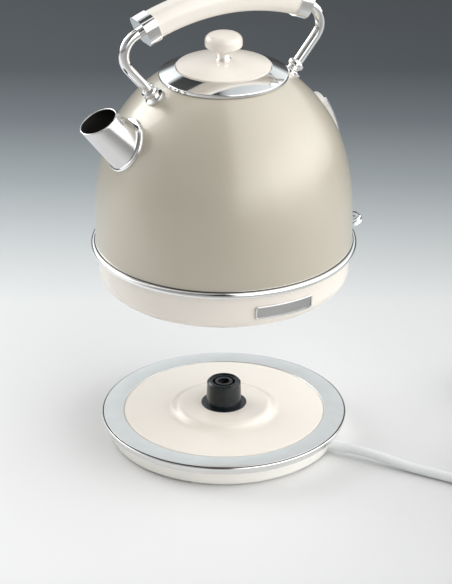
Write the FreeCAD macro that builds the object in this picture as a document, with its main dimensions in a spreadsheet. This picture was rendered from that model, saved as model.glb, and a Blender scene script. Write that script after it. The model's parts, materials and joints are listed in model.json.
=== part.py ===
"""Cordless electric kettle, lifted off its round power base.

Millimetres, +Z up. The origin is on the table top under the middle of the base. The spout points
along -X, the water gauge and the switch are at +X and the badge faces -Y. Kettle pieces are drawn
with z = 0 at the kettle's own underside and are then placed at the height it is lifted to.
"""
import FreeCAD, Part
import math
import os
import Sketcher

os.makedirs("parts", exist_ok=True)
Vector = FreeCAD.Vector
Rotation = FreeCAD.Rotation
X_AXIS, Y_AXIS, Z_AXIS = Vector(1, 0, 0), Vector(0, 1, 0), Vector(0, 0, 1)

doc = FreeCAD.newDocument("electric_kettle")
sheet = doc.addObject("Spreadsheet::Sheet", "sizes")

SIZES = {
    # fits
    "fit_gap": 0.3,
    "screw_fit": 0.3,
    # power base
    "base_radius": 96.0,
    "ring_top": 20.0,
    "ring_sheet": 1.0,
    "ring_drop": 6.6,
    "ring_roll": 2.4,
    "foot_height": 1.5,
    "tray_lean": 7.4,
    "tray_wall": 3.0,
    "tray_floor": 2.0,
    "tray_round": 2.0,
    "ridge_width": 5.0,
    "ridge_inset": 1.0,
    "ridge_arc": 56.0,
    "ridge_angle": -106.5,
    "ring_width": 17.7,
    "plate_wall": 2.0,
    "plate_flange": 13.0,
    "plateau_radius": 36.0,
    "plateau_foot": 41.0,
    "plateau_rise": 5.0,
    "pad_radius": 6.5,
    "pad_inset": 15.6,
    "base_screw_inset": 16.3,
    "base_boss_radius": 4.0,
    "screw_radius": 1.5,
    "screw_head_radius": 3.0,
    "screw_head_height": 1.1,
    # connector post in the base
    "post_radius": 13.7,
    "post_draft": 0.5,
    "post_height": 19.7,
    "post_chamfer": 1.6,
    "post_flange_radius": 17.7,
    "post_flange_height": 0.7,
    "post_spigot_radius": 12.0,
    "post_dish_radius": 10.8,
    "post_dish_depth": 0.9,
    "slot_outer_radius": 9.4,
    "slot_inner_radius": 6.2,
    "slot_depth": 13.0,
    "pin_hole_radius": 4.6,
    "contact_sheet": 0.6,
    "contact_drop": 4.0,
    "terminal_length": 40.0,
    "terminal_width": 26.0,
    "terminal_round": 3.0,
    # cord gland
    "cord_diameter": 7.4,
    "cord_angle": -52.0,
    "gland_height": 7.4,
    "gland_radius": 4.5,
    "gland_tip_radius": 4.0,
    "gland_inset": 6.0,
    "gland_reach": 18.0,
    "gland_run": 18.5,
    # how far the kettle is held above its seat
    "lift_height": 112.5,
    "seat_gap": 0.5,
    # kettle skirt and underside
    "skirt_height": 28.7,
    "skirt_step": 1.1,
    "skirt_draft": 2.2,
    "skirt_round": 13.0,
    "skirt_wall": 2.4,
    "cover_inset": 18.4,
    "cover_thickness": 2.2,
    "cover_recess_gap": 4.0,
    "cover_recess_headroom": 1.5,
    "cover_ledge": 14.0,
    "cover_screw_inset": 8.0,
    "cover_boss_radius": 4.0,
    "cover_boss_height": 7.0,
    # socket in the kettle's underside
    "socket_gap": 0.8,
    "socket_wall": 6.0,
    "socket_headroom": 1.5,
    "socket_roof": 1.5,
    "socket_pin_radius": 3.0,
    "socket_ring_radius": 7.6,
    # chrome band round the foot of the dome
    "band_height": 6.5,
    "band_proud": 3.3,
    "band_lip": 0.9,
    "band_round": 2.3,
    "band_edge": 0.8,
    "band_step": 0.6,
    # steel dome; its arcs and its mouth are shares of the radius at its foot
    "dome_radius": 97.7,
    "dome_wall": 1.2,
    "dome_neck": 4.0,
    "neck_lip": 5.0,
    "foot_arc_share": 9.365,
    "foot_arc_angle": 1.8,
    "side_arc_share": 1.822,
    "side_arc_angle": 14.7,
    "crown_arc_share": 1.08,
    "mouth_share": 0.45,
    # floor of the kettle, heater and control
    "neck_depth": 5.2,
    "floor_thickness": 1.6,
    "floor_seal_width": 1.8,
    "floor_seal_height": 3.0,
    "element_radius": 58.0,
    "element_tube_radius": 3.6,
    "element_sweep": 300.0,
    "control_radius": 34.0,
    "control_height": 14.0,
    "steam_pipe_radius": 5.0,
    "steam_pipe_wall": 0.8,
    "steam_pipe_place": 56.0,
    "steam_pipe_length": 88.0,
    # spout
    "spout_seat_angle": 28.0,
    "spout_rise_angle": 46.0,
    "spout_root_radius": 17.4,
    "spout_mouth_radius": 14.2,
    "spout_cut_reach": 30.0,
    "spout_cut_angle": 17.0,
    "spout_wall": 1.1,
    "spout_sink": 9.0,
    "collar_radius": 20.6,
    "collar_height": 2.6,
    "collar_sink": 4.0,
    "collar_round": 1.2,
    "filter_thickness": 1.0,
    "filter_place": 8.0,
    "filter_hole_radius": 2.0,
    "filter_hole_circle": 8.5,
    # handle
    "stud_seat_angle": 50.5,
    "stud_flange_radius": 7.6,
    "stud_flange_height": 3.2,
    "stud_waist_radius": 4.6,
    "stud_bulb_radius": 6.4,
    "stud_bulb_height": 7.0,
    "stud_round": 1.8,
    "stud_bolt_radius": 2.5,
    "stud_bolt_length": 9.0,
    "nut_radius": 5.0,
    "nut_height": 4.0,
    "rod_radius": 4.0,
    "rod_bend_radius": 16.0,
    "grip_half_angle": 20.0,
    "grip_arc_radius": 170.0,
    "grip_clearance": 17.4,
    "grip_height": 19.0,
    "grip_width": 24.0,
    "grip_round": 8.0,
    "ferrule_angle": 3.4,
    "ferrule_step": 1.0,
    # water gauge behind
    "gauge_low_angle": 2.0,
    "gauge_high_angle": 35.0,
    "gauge_width": 15.0,
    "gauge_frame_width": 2.5,
    "gauge_frame_height": 4.6,
    "gauge_window_height": 6.4,
    "gauge_round": 6.0,
    # badge place
    "badge_arc": 28.0,
    "badge_low": 10.4,
    "badge_height": 10.5,
    "badge_frame": 1.2,
    "badge_thickness": 1.8,
    "badge_recess": 0.8,
    "badge_frame_angle": 0.75,
    # switch
    "lever_inset": 8.6,
    "lever_height": 20.5,
    "lever_reach": 33.0,
    "lever_width": 17.0,
    "lever_thickness": 6.0,
    "lever_rise_angle": 12.0,
    "lever_slot_margin": 2.6,
    "lever_pin_radius": 1.5,
    "lever_boss_radius": 3.6,
    "lever_round": 6.0,
    "bracket_thickness": 2.4,
    "bracket_back_reach": 8.0,
    "bracket_front_reach": 3.0,
    "bracket_side_margin": 2.9,
    "bracket_cheek_height": 9.0,
    "lamp_radius": 2.5,
    "lamp_length": 6.0,
    # lid
    "lid_overlap": 4.2,
    "lid_lip_height": 2.8,
    "lid_cap_inset": 8.5,
    "lid_cap_step": 5.0,
    "lid_cap_flange": 1.5,
    "lid_cap_edge": 0.8,
    "lid_cap_crown": 4.0,
    "lid_sheet": 1.4,
    "lid_plug_gap": 2.0,
    "lid_plug_depth": 9.0,
    "lid_flange_gap": 0.6,
    "lid_flange_height": 1.2,
    "lid_seal_height": 3.0,
    "knob_stem_radius": 5.5,
    "knob_stem_height": 7.0,
    "knob_radius": 14.0,
    "knob_height": 13.0,
    "knob_round": 4.0,
    "knob_screw_radius": 2.0,
    "knob_screw_head_radius": 4.0,
    "knob_screw_head_height": 1.5,
    "knob_screw_grip": 8.0,
    # put-away cord and plug
    "coil_radius": 44.0,
    "coil_pitch": 8.2,
    "coil_layer": 7.9,
    "coil_height": 4.7,
    "coil_turns": 2.42,
    "tie_sheet": 0.6,
    "tie_width": 6.0,
    "plug_tail_radius": 6.0,
    "plug_tail_length": 15.0,
    "plug_head_radius": 18.0,
    "plug_head_length": 13.0,
    "plug_length": 52.0,
    "plug_pin_radius": 2.4,
    "plug_pin_length": 19.0,
    "plug_pin_spacing": 19.0,
    "plug_shoulder": 4.0,
    "plug_round": 1.5,
}


class Size:
    """A length or angle that keeps the sheet expression that it was worked out from."""

    def __init__(self, value, text):
        self.value = value
        self.text = text

    def __add__(self, other):
        return Size(self.value + number(other), f"({self.text} + {wording(other)})")

    def __radd__(self, other):
        return Size(number(other) + self.value, f"({wording(other)} + {self.text})")

    def __sub__(self, other):
        return Size(self.value - number(other), f"({self.text} - {wording(other)})")

    def __rsub__(self, other):
        return Size(number(other) - self.value, f"({wording(other)} - {self.text})")

    def __mul__(self, other):
        return Size(self.value * number(other), f"({self.text} * {wording(other)})")

    def __rmul__(self, other):
        return Size(number(other) * self.value, f"({wording(other)} * {self.text})")

    def __truediv__(self, other):
        return Size(self.value / number(other), f"({self.text} / {wording(other)})")

    def __neg__(self):
        return Size(-self.value, f"(0 - {self.text})")


def number(size):
    return size.value if isinstance(size, Size) else float(size)


def wording(size):
    return size.text if isinstance(size, Size) else f"({float(size):.9f})"


def sin(angle):
    return Size(math.sin(math.radians(number(angle))), f"sin({wording(angle)} * 1 deg)")


def cos(angle):
    return Size(math.cos(math.radians(number(angle))), f"cos({wording(angle)} * 1 deg)")


def tan(angle):
    return Size(math.tan(math.radians(number(angle))), f"tan({wording(angle)} * 1 deg)")


def root(area):
    return Size(math.sqrt(number(area)), f"sqrt({wording(area)})")


class Sizes:
    """The sheet's cells as attributes, each a Size."""

    def __init__(self):
        self.rows = 0
        for name, value in SIZES.items():
            self.write(name, str(value), float(value))

    def write(self, name, entry, value):
        self.rows += 1
        sheet.set(f"A{self.rows}", name)
        sheet.set(f"B{self.rows}", entry)
        sheet.setAlias(f"B{self.rows}", name)
        setattr(self, name, Size(value, f"sizes.{name}"))

    def derive(self, name, size):
        """Give a worked-out size a cell of its own."""
        self.write(name, "=" + size.text.replace("sizes.", ""), size.value)
        return getattr(self, name)


s = Sizes()
parts = {}


def keep(obj, label):
    """Name a finished sub-part."""
    obj.Label = label
    parts[label] = obj
    return obj


def bind(obj, prop, size):
    if isinstance(size, Size):
        obj.setExpression(prop, size.text)


def set_turn(obj, prop, axis, angle):
    """Turn a placement about an axis by an angle that follows its size."""
    if number(angle) < 0:
        axis, angle = -axis, -angle
    position = getattr(obj, prop).Base
    setattr(obj, prop, FreeCAD.Placement(position, Rotation(axis, number(angle))))
    if isinstance(angle, Size):
        obj.setExpression(f"{prop}.Rotation.Angle", f"{angle.text} * 1 deg")


def place(obj, x=0, y=0, z=0, axis=Z_AXIS, angle=0):
    """Put an object's own origin at x, y, z, with its axes turned."""
    obj.Placement = FreeCAD.Placement(Vector(number(x), number(y), number(z)), Rotation())
    set_turn(obj, "Placement", axis, angle)
    for letter, size in (("x", x), ("y", y), ("z", z)):
        bind(obj, f"Placement.Base.{letter}", size)
    return obj


class Corner:
    """A corner of an outline; the side that follows it may be an arc, left turning if positive."""

    def __init__(self, x, y, rounding=None, arc=None):
        self.x, self.y = x, y
        self.rounding, self.arc = rounding, arc
        self.spot = Vector(number(x), number(y), 0)


def as_corner(entry):
    return entry if isinstance(entry, Corner) else Corner(*entry)


def hold_point(sketch, geometry, end, corner):
    """Fix a point of the sketch at a corner's measured place."""
    for kind, size, axis in (("DistanceX", corner.x, -2), ("DistanceY", corner.y, -1)):
        if number(size) == 0.0:
            sketch.addConstraint(Sketcher.Constraint("PointOnObject", geometry, end, axis))
        else:
            index = sketch.addConstraint(
                Sketcher.Constraint(kind, -1, 1, geometry, end, number(size)))
            bind(sketch, f"Constraints[{index}]", size)


def set_radius(sketch, geometry, size):
    index = sketch.addConstraint(Sketcher.Constraint("Radius", geometry, number(size)))
    bind(sketch, f"Constraints[{index}]", size)


def arc_centre(start, end, radius):
    """Centre of the shorter arc from start to end, on the left for a positive radius."""
    chord = end - start
    half = chord.Length / 2
    left = Vector(-chord.y, chord.x, 0).normalize()
    reach = math.sqrt(radius * radius - half * half)
    return (start + end) / 2 + left * math.copysign(reach, radius)


def add_arc(sketch, start, end, centre, left):
    """Add an arc and say which of its ends is the start and which the end of the side."""
    first, last = (start, end) if left else (end, start)
    angles = [math.atan2(point.y - centre.y, point.x - centre.x) for point in (first, last)]
    circle = Part.Circle(centre, Z_AXIS, (start - centre).Length)
    geometry = sketch.addGeometry(Part.ArcOfCircle(circle, angles[0], angles[1]), False)
    return (geometry, 1, 2) if left else (geometry, 2, 1)


def draw_sides(sketch, corners, starts, ends):
    """Add the sides between the corners' trimmed ends and say which end of each is which."""
    sides = []
    for i, start in enumerate(starts):
        corner, end = corners[i], ends[(i + 1) % len(corners)]
        if corner.arc is None:
            geometry = sketch.addGeometry(Part.LineSegment(start, end), False)
            sides.append((geometry, 1, 2))
        else:
            centre = arc_centre(start, end, number(corner.arc))
            sides.append(add_arc(sketch, start, end, centre, number(corner.arc) > 0))
            size = corner.arc if number(corner.arc) > 0 else -corner.arc
            set_radius(sketch, sides[-1][0], size)
    return sides


def draw_bend(sketch, corner, before, after, first, last):
    """Round one corner between two sides, with the sharp corner kept as a point to measure to."""
    left = (corner.spot - first).cross(last - corner.spot).z > 0
    radius = number(corner.rounding) * (1 if left else -1)
    bend = add_arc(sketch, first, last, arc_centre(first, last, radius), left)
    sketch.addConstraint(Sketcher.Constraint("Tangent", before[0], before[2], bend[0], bend[1]))
    sketch.addConstraint(Sketcher.Constraint("Tangent", bend[0], bend[2], after[0], after[1]))
    set_radius(sketch, bend[0], corner.rounding)
    tip = sketch.addGeometry(Part.Point(corner.spot), True)
    hold_point(sketch, tip, 1, corner)
    for side in (before, after):
        sketch.addConstraint(Sketcher.Constraint("PointOnObject", tip, 1, side[0]))


def draw_path(sketch, entries, closed=True):
    """Path of straight sides, arc sides and rounded corners, each tied to its sizes."""
    corners = [as_corner(entry) for entry in entries]
    count = len(corners)
    starts, ends = [], []
    for i, corner in enumerate(corners):
        back = corners[i - 1].spot - corner.spot
        ahead = corners[(i + 1) % count].spot - corner.spot
        trim = 0.0
        if corner.rounding is not None:
            trim = number(corner.rounding) / math.tan(back.getAngle(ahead) / 2)
        starts.append(corner.spot + ahead.normalize() * trim)
        ends.append(corner.spot + back.normalize() * trim)
    sides = draw_sides(sketch, corners, starts if closed else starts[:-1], ends)
    for i, corner in enumerate(corners):
        if not closed and i == count - 1:
            hold_point(sketch, sides[-1][0], sides[-1][2], corner)
            continue
        before, after = sides[i - 1], sides[i]
        if corner.rounding is not None:
            draw_bend(sketch, corner, before, after, ends[i], starts[i])
            continue
        if closed or i > 0:
            sketch.addConstraint(
                Sketcher.Constraint("Coincident", before[0], before[2], after[0], after[1]))
        hold_point(sketch, after[0], after[1], corner)


def draw_circle(sketch, x, y, radius):
    centre = Vector(number(x), number(y), 0)
    geometry = sketch.addGeometry(Part.Circle(centre, Z_AXIS, number(radius)), False)
    hold_point(sketch, geometry, 3, Corner(x, y))
    set_radius(sketch, geometry, radius)


def new_body(label):
    return keep(doc.addObject("PartDesign::Body", label), label)


def new_sketch(body, plane, shift=(0, 0, 0), axis=Z_AXIS, angle=0):
    """Sketch on one of the body's own origin planes, moved and turned off it where needed."""
    sketch = body.newObject("Sketcher::SketchObject", f"{body.Name}_sketch")
    support = [item for item in body.Origin.OriginFeatures if item.Role == plane][0]
    sketch.AttachmentSupport = [(support, "")]
    sketch.MapMode = "FlatFace"
    sketch.AttachmentOffset = FreeCAD.Placement(Vector(*[number(item) for item in shift]), Rotation())
    set_turn(sketch, "AttachmentOffset", axis, angle)
    for letter, size in zip("xyz", shift):
        bind(sketch, f"AttachmentOffset.Base.{letter}", size)
    return sketch


def sweep_round(body, sketch, axis, angle, cut=False, both=True, reverse=False):
    """Turn a sketch about one of its own axes."""
    kind = "PartDesign::Groove" if cut else "PartDesign::Revolution"
    feature = body.newObject(kind, f"{body.Name}_turned")
    feature.Profile = sketch
    feature.ReferenceAxis = (sketch, [axis])
    feature.Angle = number(angle)
    bind(feature, "Angle", angle)
    feature.Midplane = both and number(angle) < 360.0
    feature.Reversed = reverse
    return feature


def revolve(body, entries, angle=360.0, facing=0, cut=False):
    """Turn an outline of radius and height about the body's Z axis, centred on the side it faces."""
    sketch = new_sketch(body, "XZ_Plane", axis=Y_AXIS, angle=facing)
    draw_path(sketch, entries)
    return sweep_round(body, sketch, "V_Axis", angle, cut)


def extrude(body, sketch, length=None, cut=False, both=False, reverse=False):
    """Pad or pocket a sketch by a length, or right through if none is given."""
    kind = "PartDesign::Pocket" if cut else "PartDesign::Pad"
    feature = body.newObject(kind, f"{body.Name}_extruded")
    feature.Profile = sketch
    if length is None:
        feature.Type = "ThroughAll"
    else:
        feature.Length = number(length)
        bind(feature, "Length", length)
    feature.Midplane = both
    feature.Reversed = reverse
    return feature


def pattern(body, features, count):
    """Repeat features evenly round the body's Z axis."""
    feature = body.newObject("PartDesign::PolarPattern", f"{body.Name}_pattern")
    feature.Originals = features
    axis = [item for item in body.Origin.OriginFeatures if item.Role == "Z_Axis"][0]
    feature.Axis = (axis, [""])
    feature.Angle = 360.0
    feature.Occurrences = count
    body.Tip = feature
    return feature


def lathe(label, entries):
    """A whole turned piece."""
    body = new_body(label)
    revolve(body, entries)
    return body


def box_corners(x_low, x_high, y_low, y_high, rounding=None):
    return [Corner(x_low, y_low, rounding), Corner(x_high, y_low, rounding),
            Corner(x_high, y_high, rounding), Corner(x_low, y_high, rounding)]


# heights and radii that several pieces share
s.derive("tray_foot_radius", s.base_radius - s.tray_lean)
s.derive("plate_radius", s.base_radius - s.ring_width)
s.derive("pad_circle", s.tray_foot_radius - s.pad_inset)
s.derive("base_screw_circle", s.plate_radius - s.base_screw_inset)
s.derive("skirt_top_radius", s.dome_radius - s.skirt_step)
s.derive("skirt_low_radius", s.skirt_top_radius - s.skirt_draft)
s.derive("cover_radius", s.skirt_low_radius - s.cover_inset)
s.derive("skirt_flange_radius", s.cover_radius - s.cover_ledge)
s.derive("cover_screw_circle", s.cover_radius - s.cover_screw_inset)
s.derive("cover_recess_radius", s.plateau_foot + s.cover_recess_gap)
s.derive("cover_recess_depth", s.plateau_rise + s.cover_recess_headroom)
s.derive("band_bead_radius", s.dome_radius + s.band_proud)
s.derive("foot_arc_radius", s.dome_radius * s.foot_arc_share)
s.derive("side_arc_radius", s.dome_radius * s.side_arc_share)
s.derive("crown_arc_radius", s.dome_radius * s.crown_arc_share)
s.derive("mouth_radius", s.dome_radius * s.mouth_share)
s.derive("lid_lip_radius", s.mouth_radius + s.lid_overlap)
s.derive("lid_cap_radius", s.mouth_radius - s.lid_cap_inset)
s.derive("lid_plug_radius", s.mouth_radius - s.lid_plug_gap)
s.derive("lid_flange_radius", s.mouth_radius - s.lid_flange_gap)
s.derive("spout_length", s.spout_cut_reach + s.spout_mouth_radius)
s.derive("lever_place", s.skirt_top_radius - s.lever_inset)
s.derive("bracket_back", s.lever_place - s.bracket_back_reach)
s.derive("bracket_front", s.lever_place + s.bracket_front_reach)
s.derive("bracket_half_width", s.lever_width / 2 + s.bracket_side_margin)
s.derive("bracket_low", s.lever_height - s.bracket_cheek_height / 2)
s.derive("bracket_top", s.lever_height + s.bracket_cheek_height / 2)
tray_under = s.foot_height
tray_floor_top = s.derive("tray_floor_top", tray_under + s.tray_floor)
plate_seat = s.derive("plate_seat", s.ring_top - s.ring_sheet)
plate_under = s.derive("plate_under", plate_seat - s.plate_wall)
plate_rim = s.derive("plate_rim", s.plate_radius + s.plate_flange)
plateau_top = s.derive("plateau_top", s.ring_top + s.plateau_rise)
post_low = s.derive("post_low", plate_under - s.plate_wall)
post_top = s.derive("post_top", plateau_top + s.post_height)
post_reach = s.derive("post_reach", post_top - s.ring_top - s.seat_gap)
kettle_z = s.derive("kettle_z", s.ring_top + s.seat_gap + s.lift_height)
band_top = s.derive("band_top", s.skirt_height + s.band_height)
floor_under = s.derive("floor_under", band_top - s.neck_depth)
neck_radius = s.derive("neck_radius", s.dome_radius - s.dome_neck)
neck_inner = s.derive("neck_inner", neck_radius - s.dome_wall)
skirt_floor = s.derive("skirt_floor", s.cover_thickness + s.skirt_wall)
socket_radius = s.derive("socket_radius", s.post_radius + s.socket_gap + s.socket_wall)
BASE_SCREWS = 3
COVER_SCREWS = 3
FOOT_RIDGES = 3


# power base

tray_flare = s.derive("tray_flare", (s.base_radius - s.ring_sheet - s.fit_gap - s.tray_foot_radius)
                      / (plate_seat - tray_under))
tray_inner = s.derive("tray_inner", s.tray_foot_radius - s.tray_wall)
gland_inner = s.derive("gland_inner", tray_inner - s.gland_inset)
gland_outer = s.derive("gland_outer", s.tray_foot_radius + s.gland_reach)


def tray_radius(height):
    """Outer radius of the tray's straight flared side at a height."""
    return s.tray_foot_radius + tray_flare * (height - tray_under)


def base_tray():
    body = new_body("base_tray")
    revolve(body, [
        (0, tray_under), (s.tray_foot_radius, tray_under, s.tray_round),
        (tray_radius(plate_seat), plate_seat, s.ring_roll - s.ring_sheet),
        (plate_rim + s.fit_gap, plate_seat),
        (plate_rim + s.fit_gap, plate_under), (tray_inner, plate_under),
        (tray_inner, tray_floor_top), (0, tray_floor_top)])
    ridge_out = s.tray_foot_radius - s.tray_round - s.ridge_inset
    ridge = revolve(body, box_corners(ridge_out - s.ridge_width, ridge_out, 0, tray_under),
                    s.ridge_arc, s.ridge_angle)
    pattern(body, [ridge], FOOT_RIDGES)
    holes = new_sketch(body, "XY_Plane")
    draw_circle(holes, s.base_screw_circle, 0, s.screw_radius + s.screw_fit)
    pattern(body, [extrude(body, holes, cut=True, both=True)], BASE_SCREWS)
    start = gland_inner - s.fit_gap
    notch = new_sketch(body, "YZ_Plane", (start * sin(s.cord_angle), 0, start * cos(s.cord_angle)),
                       Y_AXIS, s.cord_angle)
    draw_circle(notch, 0, s.gland_height, s.gland_radius + s.fit_gap)
    extrude(body, notch, cut=True, reverse=True)


def base_trim_ring():
    inner = s.plate_radius + s.fit_gap
    lip = tray_radius(s.ring_top - s.ring_drop) + s.fit_gap
    lathe("base_trim_ring", [
        (inner, plate_seat), (s.base_radius - s.ring_sheet, plate_seat, s.ring_roll - s.ring_sheet),
        (lip, s.ring_top - s.ring_drop), (lip + s.ring_sheet, s.ring_top - s.ring_drop),
        (s.base_radius, s.ring_top, s.ring_roll), (inner, s.ring_top)])


def base_top_plate():
    body = new_body("base_top_plate")
    hole = s.post_spigot_radius + s.fit_gap
    revolve(body, [
        (hole, plateau_top), (hole, plateau_top - s.plate_wall),
        (s.plateau_radius - s.plate_wall, plateau_top - s.plate_wall),
        (s.plateau_foot - s.plate_wall, plate_under), (plate_rim, plate_under),
        (plate_rim, plate_seat), (s.plate_radius, plate_seat), (s.plate_radius, s.ring_top),
        (s.plateau_foot, s.ring_top, s.plateau_rise),
        (s.plateau_radius, plateau_top, s.plateau_rise / 2)])
    pillar = new_sketch(body, "XY_Plane", (0, 0, tray_floor_top))
    draw_circle(pillar, s.base_screw_circle, 0, s.base_boss_radius)
    draw_circle(pillar, s.base_screw_circle, 0, s.screw_radius + s.screw_fit)
    pattern(body, [extrude(body, pillar, plate_under - tray_floor_top)], BASE_SCREWS)


def screw_set(label, circle, count, head_low, length):
    """Equal screws round the axis, heads down, with the heads' undersides at a height."""
    body = new_body(label)
    head = new_sketch(body, "XY_Plane", (0, 0, head_low))
    draw_circle(head, circle, 0, s.screw_head_radius)
    head_pad = extrude(body, head, s.screw_head_height)
    shank = new_sketch(body, "XY_Plane", (0, 0, head_low))
    draw_circle(shank, circle, 0, s.screw_radius)
    pattern(body, [head_pad, extrude(body, shank, length)], count)
    return body


def base_pads():
    """Soft pads under the tray, three near its edge and one in the middle, level with its ridges."""
    body = new_body("base_pads")
    middle = new_sketch(body, "XY_Plane")
    draw_circle(middle, 0, 0, s.pad_radius)
    extrude(body, middle, tray_under)
    pad = new_sketch(body, "XY_Plane", angle=180.0 / BASE_SCREWS)
    draw_circle(pad, s.pad_circle, 0, s.pad_radius)
    pattern(body, [extrude(body, pad, tray_under)], BASE_SCREWS)


def connector_post():
    dish = post_top - s.post_dish_depth
    slot_floor = post_top - s.slot_depth
    foot = plateau_top + s.post_flange_height
    rim = s.post_radius - s.post_draft
    lathe("connector_post", [
        (0, post_low), (s.post_spigot_radius, post_low), (s.post_spigot_radius, plateau_top),
        (s.post_flange_radius, plateau_top), (s.post_flange_radius, foot), (s.post_radius, foot),
        (rim, post_top - s.post_chamfer), (rim - s.post_chamfer, post_top),
        (s.post_dish_radius, post_top), (s.post_dish_radius, dish), (s.slot_outer_radius, dish),
        (s.slot_outer_radius, slot_floor), (s.slot_inner_radius, slot_floor),
        (s.slot_inner_radius, dish), (s.pin_hole_radius, dish), (s.pin_hole_radius, slot_floor),
        (0, slot_floor)])


def post_contacts():
    """Spring sleeve round the inner wall of the ring slot and a contact cup in the pin hole."""
    low = post_top - s.slot_depth
    body = new_body("post_contacts")
    for inner in (s.slot_inner_radius + s.fit_gap, s.pin_hole_radius - s.fit_gap - s.contact_sheet):
        sleeve = new_sketch(body, "XY_Plane", (0, 0, low))
        draw_circle(sleeve, 0, 0, inner + s.contact_sheet)
        draw_circle(sleeve, 0, 0, inner)
        extrude(body, sleeve, s.slot_depth - s.contact_drop)


def terminal_block():
    """Block under the post that takes the cord's wires."""
    body = new_body("terminal_block")
    sketch = new_sketch(body, "XY_Plane", (0, 0, tray_floor_top))
    half_length, half_width = s.terminal_length / 2, s.terminal_width / 2
    draw_path(sketch, box_corners(-half_length, half_length, -half_width, half_width, s.terminal_round))
    extrude(body, sketch, post_low - tray_floor_top)
    place(body, angle=s.cord_angle)


# power cord: gland, lead, put-away coil, tail and plug

CORD_RADIUS = number(s.cord_diameter) / 2
cord_way = Vector(math.cos(math.radians(number(s.cord_angle))),
                  math.sin(math.radians(number(s.cord_angle))), 0)


def along_cord(label, start, entries):
    """Turned piece whose axis lies along the cord where it enters the base."""
    body = lathe(label, entries)
    place(body, start * cos(s.cord_angle), start * sin(s.cord_angle), s.gland_height)
    body.Placement = FreeCAD.Placement(body.Placement.Base, Rotation(Z_AXIS, cord_way))


def inner_lead():
    start = s.terminal_length / 2
    length = gland_inner - start
    radius = s.cord_diameter / 2
    along_cord("inner_lead", start, [(0, 0), (radius, 0), (radius, length), (0, length)])


def strain_relief():
    """Tapered sleeve moulded on the cord, through the tray's side."""
    length = gland_outer - gland_inner
    along_cord("strain_relief", gland_inner, [
        (0, 0), (s.gland_radius, 0), (s.gland_radius, length - s.gland_reach),
        (s.gland_tip_radius, length), (0, length)])


def unit(vector):
    return Vector(vector).normalize()


def rounded_route(points):
    """Straight runs joined by tangent arcs as large as the runs allow; also gives the radii."""
    edges, radii = [], []
    start = points[0]
    share = 0.45
    for i in range(1, len(points) - 1):
        back, ahead = points[i - 1] - points[i], points[i + 1] - points[i]
        half_turn = (math.pi - back.getAngle(ahead)) / 2
        trim = share * min(back.Length, ahead.Length)
        radii.append(trim / math.tan(half_turn))
        first, last = points[i] + unit(back) * trim, points[i] + unit(ahead) * trim
        sag = radii[-1] * (1 / math.cos(half_turn) - 1)
        middle = points[i] + unit(unit(back) + unit(ahead)) * sag
        edges.append(Part.LineSegment(start, first).toShape())
        edges.append(Part.Arc(first, middle, last).toShape())
        start = last
    edges.append(Part.LineSegment(start, points[-1]).toShape())
    return Part.Wire(edges), radii


def tube(wire, start, heading):
    """Round solid along a wire."""
    circle = Part.Wire(Part.Circle(start, heading, CORD_RADIUS).toShape())
    shell = Part.BRepOffsetAPI.MakePipeShell(wire)
    shell.add(circle)
    shell.build()
    shell.makeSolid()
    return shell.shape()


def fixed_shape(label, shape):
    feature = doc.addObject("Part::Feature", label)
    feature.Shape = shape
    keep(feature, label)


def cord_piece(label, wire, start, heading, note):
    solid = tube(wire, start, heading)
    share = solid.Volume / (math.pi * CORD_RADIUS ** 2 * wire.Length)
    print(f"{label}: length {wire.Length:.1f}, volume over section times length {share:.4f}, {note}")
    fixed_shape(label, solid)


def routed_cord(label, route):
    wire, radii = rounded_route(route)
    note = "radii " + " ".join(f"{radius:.0f}" for radius in radii)
    cord_piece(label, wire, route[0], route[1] - route[0], note)


# points of the cord's centre line from the gland to the coil, from the base's axis and the table
LEAD_ROUTE = [
    cord_way * number(gland_outer) + Vector(0, 0, number(s.gland_height)),
    cord_way * number(gland_outer + s.gland_run) + Vector(0, 0, number(s.gland_height)),
    Vector(92.2, -122.6, 4.2),
    Vector(110.9, -149.4, 3.95),
    Vector(125.4, -173.3, number(s.coil_height)),
    Vector(137.6, -194.9, number(s.coil_height)),
]
# from the coil's end to the last bend: distance ahead, distance aside and height of the centre line
TAIL_STEPS = [(34.0, 0.6, 8.4), (52.0, 0.8, 4.6), (66.0, 0.2, 4.5)]
TAIL_FIRST_RUN = 16.0
TAIL_LAST_RUN = 11.0
PLUG_TAIL_HEIGHT = 7.35
PLUG_FLOOR_GAP = 0.2
lead_heading = unit(LEAD_ROUTE[-1] - LEAD_ROUTE[-2])
REVERSAL_TURN = 1.25
CLIMB_TURNS = 0.5


def coil_point(turns):
    """Spiral in, climb one layer in the half turn where it reverses, and spiral out above."""
    to_centre = Vector(-lead_heading.y, lead_heading.x, 0)
    start = LEAD_ROUTE[-1] + lead_heading * number(s.cord_diameter)
    centre = start + to_centre * number(s.coil_radius)
    inward = min(turns, 2 * REVERSAL_TURN - turns)
    radius = number(s.coil_radius) - number(s.coil_pitch) * inward
    climb = min(max((turns - REVERSAL_TURN) / CLIMB_TURNS + 0.5, 0.0), 1.0)
    height = number(s.coil_layer) * climb * climb * (3 - 2 * climb)
    angle = math.atan2(-to_centre.y, -to_centre.x) + 2 * math.pi * turns
    return centre + Vector(math.cos(angle) * radius, math.sin(angle) * radius, height)


def coil_heading(turns):
    step = 0.01
    return unit(coil_point(turns + step) - coil_point(turns - step))


def arc_from(start, heading, end):
    """Arc that leaves start along a heading and reaches end."""
    along = unit(end - start)
    across = heading - along * heading.dot(along)
    if across.Length < 1e-4:
        return Part.LineSegment(start, end).toShape()
    sag = (end - start).Length / 2 * math.tan(heading.getAngle(along) / 2)
    return Part.Arc(start, (start + end) / 2 + unit(across) * sag, end).toShape()


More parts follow.
